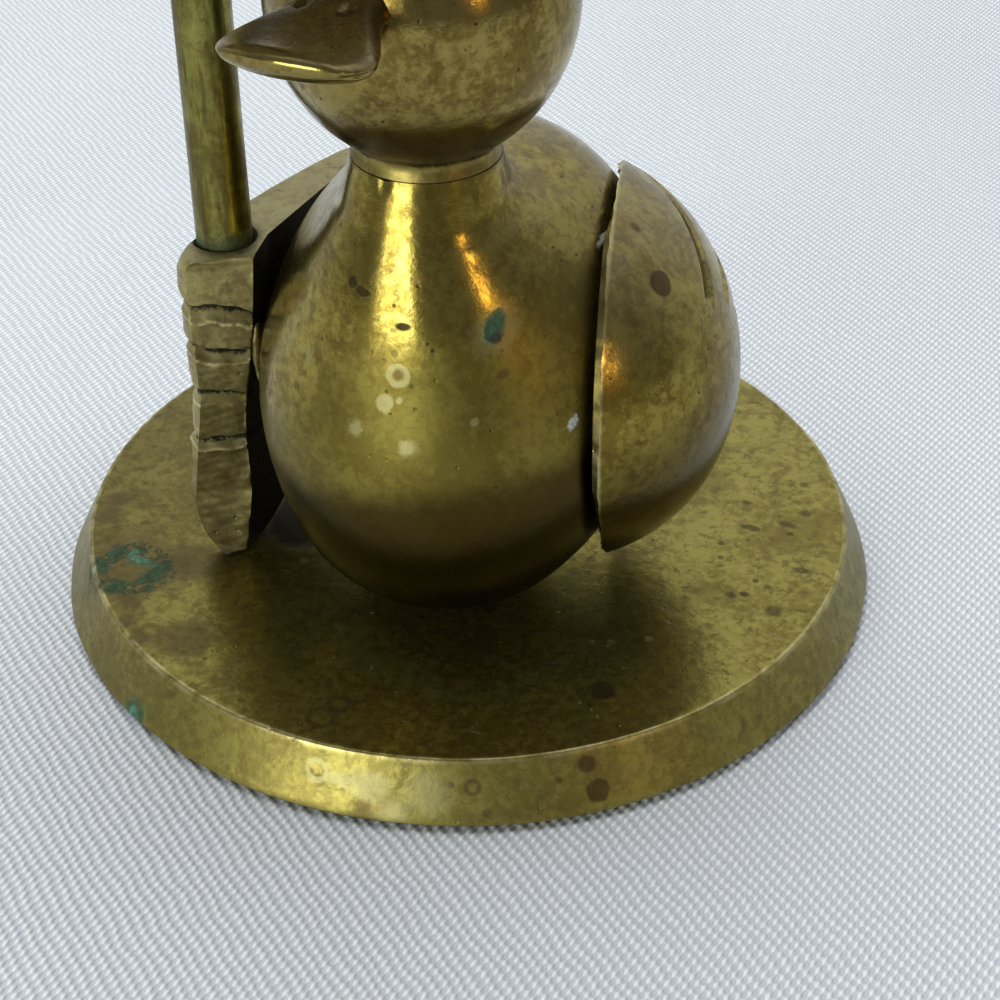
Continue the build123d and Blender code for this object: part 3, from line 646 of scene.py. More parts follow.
def make_collar():
    """The collar under the canopy: a ring with a groove turned round it."""
    low = COLLAR_LOW
    outside = ((4.5, 0.0), (5.0, 0.25), (5.2, 0.75), (5.1, 1.2), (4.85, 1.4),
               (4.85, 1.6), (5.1, 1.8), (5.2, 2.25), (5.0, 2.75), (4.5, 3.0))
    profile = [(BORE_RADIUS, low)] + [(r, low + h) for r, h in outside] + [(BORE_RADIUS, COLLAR_TOP)]
    turn = np.linspace(0, 2 * math.pi, 96, endpoint=False)
    rings = np.array([
        np.stack([SHAFT[0] + r * np.cos(turn), SHAFT[1] + r * np.sin(turn), np.full(96, h)], -1)
        for r, h in profile])
    faces = stack_faces(len(profile), 96)
    last = (len(profile) - 1) * 96
    faces += [(last + a, last + (a + 1) % 96, (a + 1) % 96, a) for a in range(96)]
    return new_piece("umbrella_ring", rings.reshape(-1, 3), faces, 45.0)


def make_finial():
    """The nut on top of the umbrella, turned to a point with a ball."""
    turned = ((0.2, 0.0), (3.3, 0.0), (3.6, 0.3), (3.6, 1.6), (3.3, 1.9), (2.6, 2.2), (2.5, 2.6), (3.1, 3.0),
              (3.2, 3.5), (2.7, 4.3), (1.9, 5.2), (1.25, 6.2), (1.0, 6.8))
    profile = [(r, FINIAL_LOW + h) for r, h in turned]
    profile += arc((0, FINIAL_LOW + 7.75), 1.25, -45, 88, 12)
    return lathe("umbrella_nut", profile, SHAFT[0], SHAFT[1], 48, 0.0, 50.0)


def make_canopy():
    """The umbrella's sheet, with a gore between each two ribs and a scalloped hem."""
    per = 32
    around = RIBS * per
    phi = np.linspace(0, 2 * math.pi, around, endpoint=False)
    inside = (phi * RIBS / (2 * math.pi)) % 1.0
    # the hem between two ribs is a round cut, deepest in its middle
    half = math.pi / RIBS
    chord = CANOPY_RADIUS * math.cos(half)
    width = CANOPY_RADIUS * math.sin(half)
    ball = (width**2 + HEM_DEPTH**2) / (2 * HEM_DEPTH)
    beta = (inside - 0.5) * 2 * half
    far = chord - HEM_DEPTH + ball
    hem = far * np.cos(beta) - np.sqrt(np.maximum(ball**2 - (far * np.sin(beta)) ** 2, 0))
    hem = np.minimum(hem, CANOPY_RADIUS)
    sag = 4 * inside * (1 - inside)
    crease = np.minimum(inside, 1 - inside) * 2 * half

    def level(share, under, hem_in=0.0):
        """A ring of the sheet's underside or top, at a share of the way from hub to hem."""
        wide = HUB_RADIUS + (hem - hem_in - HUB_RADIUS) * share
        reach = CANOPY_BALL - (CANOPY_WALL if under else 0)
        z = CANOPY_TOP - CANOPY_BALL + np.sqrt(reach**2 - wide**2)
        z -= 0.55 * sag * share**1.5 * (1 if not under else 0.6)
        if not under:
            z -= 0.16 * np.exp(-((crease * wide / 0.45) ** 2)) * min(1, share * 6)
            z += 0.12 * bump(wide, hem - 1.7, 0.45)
        return np.stack([wide * np.cos(phi), wide * np.sin(phi), z], -1)

    def hub(wide, z):
        return np.stack([wide * np.cos(phi), wide * np.sin(phi), np.full(around, float(z))], -1)

    rings = [hub(BORE_RADIUS, COLLAR_TOP), hub(HUB_RADIUS - 0.3, COLLAR_TOP),
             hub(HUB_RADIUS, COLLAR_TOP + 0.3), hub(HUB_RADIUS, COLLAR_TOP + 1.9)]
    for share in np.linspace(0.03, 1, 40):
        rings.append(level(share, True, 0.15 if share == 1 else 0.0))
    rings.append(level(1, True) * 0.5 + level(1, False) * 0.5)
    for share in np.linspace(1, 0, 90):
        rings.append(level(share, False, 0.12 if share == 1 else 0.0))
    rings += [hub(HUB_RADIUS - 0.5, CANOPY_TOP), hub(BORE_RADIUS, CANOPY_TOP)]
    rings = np.array(rings)
    rings[..., 0] += SHAFT[0]
    rings[..., 1] += SHAFT[1]
    count = len(rings)
    faces = stack_faces(count, around)
    last = (count - 1) * around
    faces += [(last + a, last + (a + 1) % around, (a + 1) % around, a) for a in range(around)]
    return new_piece("umbrella_sheet", rings.reshape(-1, 3), faces, 35.0)


class Tree:
    """A geometry tree with named inputs, and short ways to add and join its nodes."""

    def __init__(self, name, inputs):
        self.group = bpy.data.node_groups.new(name, "GeometryNodeTree")
        self.group.interface.new_socket("Geometry", in_out="OUTPUT", socket_type="NodeSocketGeometry")
        for label, kind, value in inputs:
            socket = self.group.interface.new_socket(label, in_out="INPUT", socket_type=kind)
            if value is not None:
                socket.default_value = value
        self.start = self.group.nodes.new("NodeGroupInput")
        self.end = self.group.nodes.new("NodeGroupOutput")

    def add(self, kind, **settings):
        node = self.group.nodes.new(kind)
        for key, value in settings.items():
            setattr(node, key, value)
        return node

    def join(self, a, b):
        self.group.links.new(a, b)

    def put(self, node, values):
        for key, value in values.items():
            if hasattr(value, "is_output"):
                self.join(value, node.inputs[key])
            else:
                node.inputs[key].default_value = value
        return node

    def math(self, kind, a, b=0.0):
        return self.put(self.add("ShaderNodeMath", operation=kind), {0: a, 1: b}).outputs[0]


def rib_tree():
    """Bent ribs with a ball at each tip, set evenly round an upright axis."""
    t = Tree("umbrella_ribs", [
        ("Ribs", "NodeSocketInt", RIBS), ("Bend radius", "NodeSocketFloat", 0.058),
        ("First angle", "NodeSocketFloat", 0.7), ("Swept angle", "NodeSocketFloat", 0.7),
        ("Wire radius", "NodeSocketFloat", WIRE_RADIUS * MM),
        ("Tip radius", "NodeSocketFloat", 0.0013), ("Middle", "NodeSocketVector", (0, 0, 0)),
        ("Finish", "NodeSocketMaterial", None)])
    s = t.start.outputs
    bend = t.put(t.add("GeometryNodeCurveArc", mode="RADIUS"), {
        "Resolution": 40, "Radius": s["Bend radius"],
        "Start Angle": s["First angle"], "Sweep Angle": s["Swept angle"]})
    round_wire = t.put(t.add("GeometryNodeCurvePrimitiveCircle", mode="RADIUS"), {
        "Resolution": 14, "Radius": s["Wire radius"]})
    wire = t.put(t.add("GeometryNodeCurveToMesh"), {
        "Curve": bend.outputs["Curve"], "Profile Curve": round_wire.outputs["Curve"], "Fill Caps": True})
    ball = t.put(t.add("GeometryNodeMeshUVSphere"), {"Segments": 18, "Rings": 12, "Radius": s["Tip radius"]})
    spot = t.put(t.add("ShaderNodeCombineXYZ"), {
        "X": t.math("MULTIPLY", s["Bend radius"], t.math("COSINE", s["First angle"])),
        "Y": t.math("MULTIPLY", s["Bend radius"], t.math("SINE", s["First angle"]))})
    ball = t.put(t.add("GeometryNodeTransform"), {
        "Geometry": ball.outputs["Mesh"], "Translation": spot.outputs[0]})
    both = t.add("GeometryNodeJoinGeometry")
    t.join(wire.outputs["Mesh"], both.inputs[0])
    t.join(ball.outputs["Geometry"], both.inputs[0])
    upright = t.put(t.add("GeometryNodeTransform"), {
        "Geometry": both.outputs[0], "Rotation": (math.pi / 2, 0, 0)})
    places = t.put(t.add("GeometryNodePoints"), {"Count": s["Ribs"], "Position": s["Middle"]})
    number = t.add("GeometryNodeInputIndex")
    turn = t.put(t.add("ShaderNodeCombineXYZ"), {
        "Z": t.math("DIVIDE", t.math("MULTIPLY", number.outputs[0], 2 * math.pi), s["Ribs"])})
    set_out = t.put(t.add("GeometryNodeInstanceOnPoints"), {
        "Points": places.outputs[0], "Instance": upright.outputs["Geometry"], "Rotation": turn.outputs[0]})
    real = t.put(t.add("GeometryNodeRealizeInstances"), {"Geometry": set_out.outputs[0]})
    done = t.put(t.add("GeometryNodeSetMaterial"), {"Geometry": real.outputs[0], "Material": s["Finish"]})
    t.join(done.outputs[0], t.end.inputs[0])
    return t.group


def grow(name, tree, values):
    """A plain mesh piece that a geometry tree makes from the given values."""
    data = bpy.data.meshes.new(name + "_seed")
    maker = bpy.data.objects.new(name + "_seed", data)
    scene.collection.objects.link(maker)
    tool = maker.modifiers.new("grow", "NODES")
    tool.node_group = tree
    for item in tree.interface.items_tree:
        if item.in_out == "INPUT" and item.name in values:
            tool[item.identifier] = values[item.name]
    graph = bpy.context.evaluated_depsgraph_get()
    mesh = bpy.data.meshes.new_from_object(maker.evaluated_get(graph))
    mesh.name = name
    mesh.shade_smooth()
    mesh.set_sharp_from_angle(angle=math.radians(50))
    maker.modifiers.clear()
    bpy.data.objects.remove(maker)
    piece = bpy.data.objects.new(name, mesh)
    scene.collection.objects.link(piece)
    return piece


# Materials

class Finish:
    """A material made of nodes on the piece's own coordinates, in millimetres."""

    def __init__(self, name):
        self.material = bpy.data.materials.new(name)
        self.material.use_nodes = True
        self.tree = self.material.node_tree
        self.tree.nodes.clear()
        self.surface = self.add("ShaderNodeBsdfPrincipled")
        output = self.add("ShaderNodeOutputMaterial")
        self.join(self.surface.outputs[0], output.inputs[0])
        place = self.add("ShaderNodeTexCoord")
        size = self.add("ShaderNodeMapping")
        size.inputs["Scale"].default_value = (1 / MM, 1 / MM, 1 / MM)
        self.join(place.outputs["Object"], size.inputs["Vector"])
        self.place = size.outputs[0]

    def add(self, kind):
        return self.tree.nodes.new(kind)

    def join(self, a, b):
        self.tree.links.new(a, b)

    def put(self, socket, value):
        if hasattr(value, "is_output"):
            self.join(value, socket)
        elif isinstance(value, tuple) and len(value) == 3 and socket.type == "RGBA":
            socket.default_value = (*value, 1)
        else:
            socket.default_value = value

    def math(self, kind, a, b=0.0):
        n = self.add("ShaderNodeMath")
        n.operation = kind
        self.put(n.inputs[0], a)
        self.put(n.inputs[1], b)
        return n.outputs[0]

    def plus(self, a, b):
        return self.math("ADD", a, b)

    def minus(self, a, b):
        return self.math("SUBTRACT", a, b)

    def times(self, a, b):
        return self.math("MULTIPLY", a, b)

    def larger(self, a, b):
        return self.math("MAXIMUM", a, b)

    def flip(self, a):
        """1 where it was 0, and 0 where it was 1."""
        return self.math("SUBTRACT", 1.0, a)

    def stretched(self, scale, turn=(0, 0, 0)):
        n = self.add("ShaderNodeMapping")
        n.inputs["Scale"].default_value = scale
        n.inputs["Rotation"].default_value = [math.radians(t) for t in turn]
        self.join(self.place, n.inputs["Vector"])
        return n.outputs[0]

    def noise(self, length, detail=4.0, rough=0.6, twist=0.0, place=None):
        """A noise whose blotches are about one length across, in millimetres."""
        n = self.add("ShaderNodeTexNoise")
        n.inputs["Scale"].default_value = 1.0 / length
        n.inputs["Detail"].default_value = detail
        n.inputs["Roughness"].default_value = rough
        n.inputs["Distortion"].default_value = twist
        self.join(place or self.place, n.inputs["Vector"])
        return n.outputs[0]

    def step(self, value, low, high):
        """0 below low, 1 above high, and a smooth way between them."""
        n = self.add("ShaderNodeMapRange")
        n.interpolation_type = "SMOOTHSTEP"
        self.put(n.inputs["Value"], value)
        n.inputs["From Min"].default_value = low
        n.inputs["From Max"].default_value = high
        return n.outputs[0]

    def range(self, value, low, high, to_low, to_high):
        n = self.add("ShaderNodeMapRange")
        self.put(n.inputs["Value"], value)
        n.inputs["From Min"].default_value = low
        n.inputs["From Max"].default_value = high
        n.inputs["To Min"].default_value = to_low
        n.inputs["To Max"].default_value = to_high
        return n.outputs[0]

    def mix(self, share, a, b):
        n = self.add("ShaderNodeMix")
        n.data_type = "RGBA"
        self.put(n.inputs["Factor"], share)
        self.put(n.inputs[6], a)
        self.put(n.inputs[7], b)
        return n.outputs[2]

    def parts(self):
        """The piece's own X, Y and Z."""
        n = self.add("ShaderNodeSeparateXYZ")
        self.join(self.place, n.inputs[0])
        return n.outputs

    def facing(self):
        """The way the surface faces, as X, Y and Z."""
        n = self.add("ShaderNodeNewGeometry")
        s = self.add("ShaderNodeSeparateXYZ")
        self.join(n.outputs["Normal"], s.inputs[0])
        return s.outputs

    def mark(self, name):
        """A value that the piece's points carry."""
        n = self.add("ShaderNodeAttribute")
        n.attribute_name = name
        return n.outputs["Fac"]

    def uneven(self, amount, length, detail=3.0, rough=0.7):
        """A noise to either side of 0, to break up an edge."""
        return self.times(self.minus(self.noise(length, detail, rough), 0.5), amount)

    def specks(self, length, size):
        """Small round specks: 1 inside a speck, 0 outside."""
        n = self.add("ShaderNodeTexVoronoi")
        n.inputs["Scale"].default_value = 1.0 / length
        self.join(self.place, n.inputs["Vector"])
        return self.step(self.minus(size, n.outputs["Distance"]), -0.03, 0.03)

    def away(self, x, y, z, shape=(1, 1, 1)):
        """How far it is from a place, with each direction weighed by shape."""
        n = self.add("ShaderNodeMapping")
        n.inputs["Scale"].default_value = shape
        n.inputs["Location"].default_value = (-x * shape[0], -y * shape[1], -z * shape[2])
        self.join(self.place, n.inputs["Vector"])
        far = self.add("ShaderNodeVectorMath")
        far.operation = "LENGTH"
        self.join(n.outputs[0], far.inputs[0])
        return far.outputs["Value"]

    def spot(self, x, y, z, radius, edge=0.3, ragged=0.0, rag_length=1.2, shape=(1, 1, 1)):
        """A stain at a place on the piece: 1 in its middle, 0 outside."""
        gap = self.away(x, y, z, shape)
        if ragged:
            gap = self.plus(gap, self.uneven(ragged * 2, rag_length))
        return self.flip(self.step(gap, radius * (1 - edge), radius * (1 + edge)))

    def ring(self, x, y, z, radius, width, ragged=0.0, rag_length=2.0):
        """A stain's ring round a place."""
        gap = self.away(x, y, z)
        if ragged:
            gap = self.plus(gap, self.uneven(ragged * 2, rag_length))
        gap = self.math("ABSOLUTE", self.minus(gap, radius))
        return self.flip(self.step(gap, width * 0.4, width))

    def height(self, value, depth, base=None):
        """Bumps of a depth in millimetres, laid on other bumps."""
        n = self.add("ShaderNodeBump")
        n.inputs["Strength"].default_value = 1.0
        n.inputs["Distance"].default_value = depth * MM
        self.put(n.inputs["Height"], value)
        if base is not None:
            self.join(base, n.inputs["Normal"])
        return n.outputs[0]


def most(f, masks):
    """The largest of several masks."""
    total = masks[0]
    for mask in masks[1:]:
        total = f.larger(total, mask)
    return total


def spots(f, rows):
    """Stains at several places, each row with what a spot takes."""
    return most(f, [f.spot(*row) for row in rows])


# each stain's colour, its roughness, and how much of the colour under it it covers; some are used as painted
# shade and painted highlights, as noted
STAINS = {
    "brown": ((0.062, 0.034, 0.018), 0.35, 1.0),
    "umber": ((0.095, 0.066, 0.022), 0.42, 1.0),
    "black": ((0.020, 0.016, 0.010), 0.55, 1.0),
    # used mostly as painted shade in splits, slits and gaps and where parts meet, and once for a real sooty
    # mark
    "shade_and_soot": ((0.012, 0.010, 0.006), 0.70, 1.0),
    # painted shade and reflection low down and under things, with some real dirt
    "shade_and_grime": ((0.044, 0.027, 0.006), 0.27, 0.93),
    # painted shade on the body's lower front
    "belly": ((0.120, 0.098, 0.022), 0.42, 0.6),
    "dull": ((0.190, 0.160, 0.052), 0.46, 0.45),
    "pale": ((0.36, 0.33, 0.15), 0.42, 1.0),
    # a painted highlight on edges and lips, with some rubbing on the base's rim
    "bright": ((0.62, 0.54, 0.26), 0.22, 1.0),
    "green": ((0.025, 0.095, 0.045), 0.80, 1.0),
    "turquoise": ((0.10, 0.28, 0.19), 0.85, 1.0),
    "crust": ((0.50, 0.53, 0.50), 0.85, 1.0),
}
CRUSTS = ("green", "turquoise", "crust")
FILM = (0.115, 0.068, 0.017)
PIT = (0.045, 0.030, 0.012)


def aged_brass(name, bright=(0.340, 0.272, 0.060), dark=(0.205, 0.150, 0.027), rough=(0.12, 0.26),
               grain=(1, 1, 1), stains=None, film=0.5, dust_and_sheen=0.25, pitted=0.10, mottle=0.020, haze=0.0,
               veil_colour=(0.34, 0.31, 0.25), fleck=0.45, up=(0.25, 0.95)):
    """Old brass: olive and gold, browner where a film has grown, with pits, fine scratches, stains and painted
    shade and highlights, and upward faces paler with a dusty film and a painted sheen.
    """
    f = Finish(name)
    broad = f.noise(9.0, 5.0, 0.60, 0.5)
    fine = f.noise(1.15, 5.0, 0.68, 0.3, place=f.stretched(grain))
    tone = f.plus(f.times(broad, 0.5), f.times(fine, 0.5))
    colour = f.mix(f.step(tone, 0.43, 0.57), dark, bright)
    brown = f.step(f.noise(3.6, 7.0, 0.70, 0.8), 0.49, 0.64)
    flecks = f.step(f.noise(1.5, 6.0, 0.74, 0.4), 0.53, 0.62)
    colour = f.mix(f.times(flecks, fleck), colour, tuple(c * 0.45 for c in dark))
    pale = f.step(f.noise(2.1, 6.0, 0.72, 0.6), 0.56, 0.64)
    colour = f.mix(f.times(pale, 0.35), colour, tuple(c * 1.25 for c in bright))
    colour = f.mix(f.times(brown, film), colour, FILM)
    pits = f.times(f.specks(1.9, pitted), f.step(f.noise(7.0, 2.0), 0.46, 0.56))
    colour = f.mix(f.times(pits, 0.75), colour, PIT)
    roughness = f.range(tone, 0.32, 0.66, rough[1], rough[0])
    roughness = f.plus(roughness, f.times(f.plus(brown, flecks), 0.08))
    # upward faces paler: a dusty film, and a painted sheen for the light from above
    veil = f.times(f.step(f.facing()[2], *up), f.range(f.noise(4.0, 4.0, 0.6), 0.3, 0.7, dust_and_sheen * 0.5, dust_and_sheen))
    if haze:
        veil = f.larger(veil, f.range(fine, 0.35, 0.65, haze * 0.6, haze))
    colour = f.mix(veil, colour, veil_colour)
    metal = f.flip(f.times(veil, 0.8))
    roughness = f.plus(roughness, f.times(veil, 0.25))
    crust = None
    for kind, mask in (stains(f) if stains else []):
        shade, dull, cover = STAINS[kind]
        if kind in CRUSTS:
            shade = f.mix(f.step(f.noise(0.8, 3.0, 0.7), 0.38, 0.62), tuple(c * 0.45 for c in shade), shade)
            crust = mask if crust is None else f.larger(crust, mask)
        colour = f.mix(f.times(mask, cover), colour, shade)
        roughness = f.plus(f.times(roughness, f.flip(mask)), f.times(mask, dull))
    if crust is not None:
        metal = f.times(metal, f.flip(crust))
    f.put(f.surface.inputs["Base Color"], colour)
    f.put(f.surface.inputs["Metallic"], metal)
    f.put(f.surface.inputs["Roughness"], roughness)
    along = (grain[0] * 0.3, grain[1] * 2.4, grain[2] * 0.9)
    scratches = f.noise(0.45, 2.0, 0.5, place=f.stretched(along, (20, 35, 15)))
    normal = f.height(broad, 0.08)
    normal = f.height(fine, mottle, normal)
    normal = f.height(scratches, 0.006, normal)
    normal = f.height(f.flip(pits), 0.04, normal)
    if crust is not None:
        normal = f.height(f.times(crust, f.noise(0.6, 4.0, 0.8)), 0.22, normal)
    f.join(normal, f.surface.inputs["Normal"])
    return f.material


def body_stains(f):
    """Painted shade on the lower front, painted shade and reflection with some patina low down, painted shade
    where the body meets the base, and small marks on the front.
    """
    x, _, z = f.parts()
    uneven = f.uneven(9.0, 4.0, 6.0, 0.65)
    slope = f.minus(f.plus(z, uneven), f.times(x, 0.6))
    # painted shade: the body darker below a line that rises towards the duck's left, and on its lower front
    yield "belly", f.times(0.9, f.step(slope, 45.0, 39.5))
    middle = f.plus(f.away(6.5, -32.0, 42.0, (0.75, 0.3, 1.0)), f.times(uneven, 0.35))
    yield "belly", f.times(0.75, f.step(middle, 10.0, 3.5))
    # painted shade and reflection on the lower body, with some brown patina
    below = f.plus(f.minus(z, f.times(x, 0.21)), f.times(uneven, 0.35))
    yield "shade_and_grime", f.times(0.88, f.step(below, 33.2, 28.5))
    yield "umber", f.times(0.35, f.step(f.plus(z, f.noise(3.0, 3.0)), SEAM_HEIGHT - 0.3, SEAM_HEIGHT + 0.4))
    # painted shade where the body meets the base
    yield "shade_and_soot", f.times(0.8, f.flip(f.step(f.plus(z, f.noise(1.5, 3.0)), BASE_TOP + 0.7, BASE_TOP + 2.2)))

    def mark(x, y, z, radius, edge=0.35, ragged=0.25, wide=1.0, tall=1.0):
        return f.spot(x, y, z, radius, edge, ragged, 0.9, (1 / wide, 0.3, 1 / tall))

    yield "black", f.times(0.85, most(f, [
        mark(1.2, -28.6, 54.2, 0.62, 0.3, 0.3), mark(2.6, -29.0, 53.7, 0.68, 0.3, 0.35, 1.5, 0.8),
        mark(7.4, -29.9, 51.1, 0.55, 0.3, 0.1, 1.5, 0.7), mark(10.0, -29.6, 49.6, 0.3),
        mark(10.5, -29.7, 48.9, 0.28)]))
    yield "pale", f.times(0.6, most(f, [
        f.ring(7.4, -31.5, 46.2, 1.15, 0.45, 0.3), f.ring(6.2, -32.7, 43.1, 1.0, 0.5, 0.35),
        mark(7.7, -32.4, 43.5, 0.45), mark(-4.1, -30.1, 44.9, 0.6, 0.4, 0.4, 0.7, 1.4),
        mark(-7.7, -27.7, 44.9, 0.5), mark(15.2, -29.5, 41.5, 0.4), mark(3.0, -33.0, 39.5, 0.8, 0.5, 0.8),
        mark(9.0, -33.0, 38.5, 0.9, 0.5, 0.9)]))
    yield "umber", f.times(0.6, most(f, [
        mark(7.4, -31.4, 46.2, 0.6), mark(6.8, -30.7, 48.3, 0.4), f.ring(13.7, -26.9, 50.7, 0.7, 0.35),
        mark(-5.5, -30.8, 40.8, 0.55), mark(17.0, -26.5, 46.0, 0.5)]))
    yield "pale", f.times(0.35, mark(15.6, -25.4, 50.3, 2.0, 0.3, 0.9, 1.0, 1.15))
    yield "green", f.times(0.9, mark(15.5, -25.5, 50.6, 0.9, 0.25, 0.35, 0.9, 1.7))
    yield "shade_and_soot", f.times(0.7, mark(15.8, -25.3, 49.6, 0.5, 0.4, 0.4))
    yield "crust", most(f, [
        mark(20.9, -9.2, 54.4, 0.45, 0.3, 0.4, 0.7, 1.6), mark(23.3, -22.4, 39.4, 0.5, 0.3, 0.4, 0.7, 1.7)])


def head_stains(f):
    """Painted shade on the head's underside, and a dull waist."""
    z = f.plus(f.parts()[2], f.times(f.noise(3.0, 4.0), 3.0))
    under = f.times(f.step(z, SEAM_HEIGHT + 3.0, SEAM_HEIGHT + 3.8), f.step(z, 76.0, 71.0))
    # painted shade on the underside
    yield "shade_and_grime", f.times(0.98, under)
    yield "dull", f.times(0.8, f.step(z, SEAM_HEIGHT + 3.4, SEAM_HEIGHT + 2.8))


def dome_stains(f):
    """Painted shade and reflection with some dirt low on the resting wing, a painted highlight along its edge,
    painted shade in the slits, and a few spots.
    """
    x, _, z = f.parts()
    # painted shade and reflection low on the wing's outer side, with some dirt
    outer = f.minus(z, f.times(0.6, f.minus(x, 24.0)))
    yield "shade_and_grime", f.times(0.87, f.step(f.plus(outer, f.times(f.noise(5.0, 4.0), 8.0)), 45.0, 27.0))
    side = f.add("ShaderNodeVectorMath")
    side.operation = "DOT_PRODUCT"
    f.join(f.place, side.inputs[0])
    side.inputs[1].default_value = DOME_OUT
    above = f.minus(side.outputs["Value"], float(DOME_OUT @ DOME_CENTRE) + DOME_CUT)
    edge = f.times(f.step(above, 1.15, 0.75), f.step(above, -0.1, 0.15))
    # a painted highlight along the filed edge
    yield "bright", f.times(edge, f.range(f.noise(2.0, 3.0), 0.35, 0.6, 0.2, 0.75))
    # painted shade in the slits
    yield "shade_and_soot", f.times(0.85, f.step(f.mark("shade_and_soot"), 0.35, 0.9))
    yield "brown", f.times(0.8, f.spot(27.6, -9.3, 50.5, 1.35, 0.12, 0.15, 1.2, (1, 0.95, 0.85)))
    yield "umber", f.times(0.8, f.spot(23.3, -6.4, 54.8, 0.62, 0.3, 0.1, 1.0, (0.55, 1.3, 1.3)))
    yield "crust", f.spot(22.4, -22.6, 40.0, 0.55, 0.3, 0.5, 1.0, (1, 1, 0.5))
    yield "umber", f.times(0.5, spots(f, [(30.0, -14.0, 44.0, 0.5, 0.4), (31.2, -5.5, 46.0, 0.45, 0.4)]))


def on_top(*rows):
    """Places of stains on the base's flat top, given without their height."""
    return [(x, y, BASE_TOP, *rest) for x, y, *rest in rows]


def base_stains(f):
    """A dull bevel, a rim painted bright as a highlight with some rubbing, verdigris at the front left, many
    small spots, and painted shade on the left, in the gap under the holding wing and round the body's foot.
    """
    top = f.step(f.parts()[2], BASE_TOP - 0.25, BASE_TOP - 0.05)
    yield "dull", f.times(f.flip(top), f.range(f.noise(3.0, 4.0, 0.6), 0.35, 0.65, 0.45, 0.85))
    # painted shade: the top darker towards the left
    left = f.step(f.plus(f.parts()[0], f.times(f.noise(9.0, 4.0, 0.6), 30.0)), 6.0, -30.0)
    yield "shade_and_grime", f.times(0.5, f.times(top, left))
    yield "umber", f.times(0.7, f.times(top, spots(f, on_top(
        (-39.8, -21.9, 1.9, 0.5, 1.6, 2.0), (-40.8, -18.6, 1.6, 0.5, 1.4, 2.0),
        (-27.9, -35.6, 1.6, 0.5, 1.4, 1.6), (-23.1, -40.7, 1.8, 0.5, 1.4, 1.6),
        (-18.0, -38.6, 3.4, 0.5, 2.6, 2.2), (-24.2, -25.6, 3.6, 0.6, 3.0, 2.4),
        (-26.0, -38.8, 1.2, 0.5, 1.0, 1.4)))))
    yield "brown", f.times(0.75, spots(f, [
        (29.3, -26.5, BASE_TOP, 1.5, 0.25, 0.4, 1.4), (33.2, -36.9, 3.2, 1.35, 0.12, 0.2, 1.2),
        (31.7, -36.5, 6.1, 1.0, 0.25, 0.2, 1.2)]))
    yield "black", f.times(0.55, spots(f, on_top(
        (37.8, 20.9, 0.55, 0.4, 0.3), (40.0, 14.9, 0.75, 0.5, 0.6),
        (38.7, 11.8, 0.8, 0.5, 0.6, 1.0, (0.7, 1.4, 1)), (34.6, 9.3, 0.75, 0.3, 0.2, 1.0, (0.55, 1.3, 1)),
        (32.3, 14.1, 0.5, 0.4, 0.3), (42.9, 3.6, 0.7, 0.4, 0.3, 1.0, (0.7, 1.2, 1)), (40.3, -1.2, 0.5, 0.3),
        (38.6, -0.6, 0.4, 0.3), (42.4, -5.2, 1.0, 0.5, 0.8), (38.2, -3.6, 0.5, 0.4, 0.3),
        (36.8, -4.4, 0.6, 0.4, 0.3), (32.3, 4.7, 0.42, 0.3), (33.2, 2.0, 0.42, 0.3), (39.5, 10.1, 0.4, 0.3))))
    yield "umber", f.times(0.7, f.larger(spots(f, [
        (10.9, -49.1, 1.7, 1.4, 0.5, 1.0), (19.3, -44.8, 5.2, 0.4), (23.4, -44.3, 2.3, 0.55, 0.3),
        (29.5, -39.0, 5.0, 0.4), (5.3, -48.9, 4.3, 0.45, 0.3)]), most(f, [
            f.ring(21.5, -43.9, 5.0, 0.75, 0.35), f.ring(3.0, -43.5, BASE_TOP, 1.5, 0.5, 0.5),
            f.ring(3.6, -41.0, BASE_TOP, 1.2, 0.5, 0.5)])))
    yield "pale", f.times(0.55, f.larger(f.ring(5.0, -48.5, 5.0, 1.1, 0.42, 0.5, 1.6), spots(f, [
        (7.9, -48.3, 4.6, 1.0, 0.4, 0.7, 1.2, (0.55, 1, 1.5)),
        (11.0, -47.9, 4.3, 1.5, 0.5, 1.2, 1.4, (0.6, 1, 1)),
        (14.0, -48.4, 1.9, 1.7, 0.5, 1.6, 1.6), (17.5, -46.3, 4.5, 2.2, 0.6, 2.2, 2.0), *on_top(
            (27.1, -18.4, 0.5, 0.4), (30.9, -16.1, 0.5, 0.4), (25.1, -19.3, 0.35, 0.4),
            (19.5, -38.7, 0.5, 0.3, 0.0, 1.0, (0.6, 2.5, 1)), (-13.8, -22.5, 0.5, 0.3, 0.0, 1.0, (0.8, 2.6, 1)),
            (-12.7, -19.9, 0.5, 0.5, 0.6))])))
    broken = f.step(f.noise(1.6, 5.0, 0.7, 0.5), 0.44, 0.54)
    ring = f.times(f.ring(-31.2, -29.9, BASE_TOP, 3.8, 1.9, 1.8, 2.2), broken)
    yield "umber", f.times(0.5, f.spot(-31.2, -29.9, BASE_TOP, 6.5, 0.4, 3.0, 2.5))
    yield "green", f.times(0.85, f.larger(ring, spots(f, [
        (-27.8, -29.7, BASE_TOP, 1.3, 0.5, 1.4, 1.3, (1, 0.7, 1)), (-34.3, -31.4, BASE_TOP, 1.0, 0.5, 1.2, 1.3),
        (-30.9, -34.2, BASE_TOP, 0.8, 0.5, 1.0, 1.3, (0.6, 1, 1)), (-20.6, -46.1, 1.5, 1.9, 0.5, 1.2, 1.4)])))
    yield "turquoise", f.times(0.8, spots(f, [
        (-31.0, -28.2, BASE_TOP, 0.85, 0.5, 0.9, 1.0, (0.45, 1.1, 1)), (-20.9, -46.0, 1.4, 0.9, 0.5, 0.9, 1.2),
        (-32.6, -26.9, BASE_TOP, 0.6, 0.5, 0.8, 1.0)]))
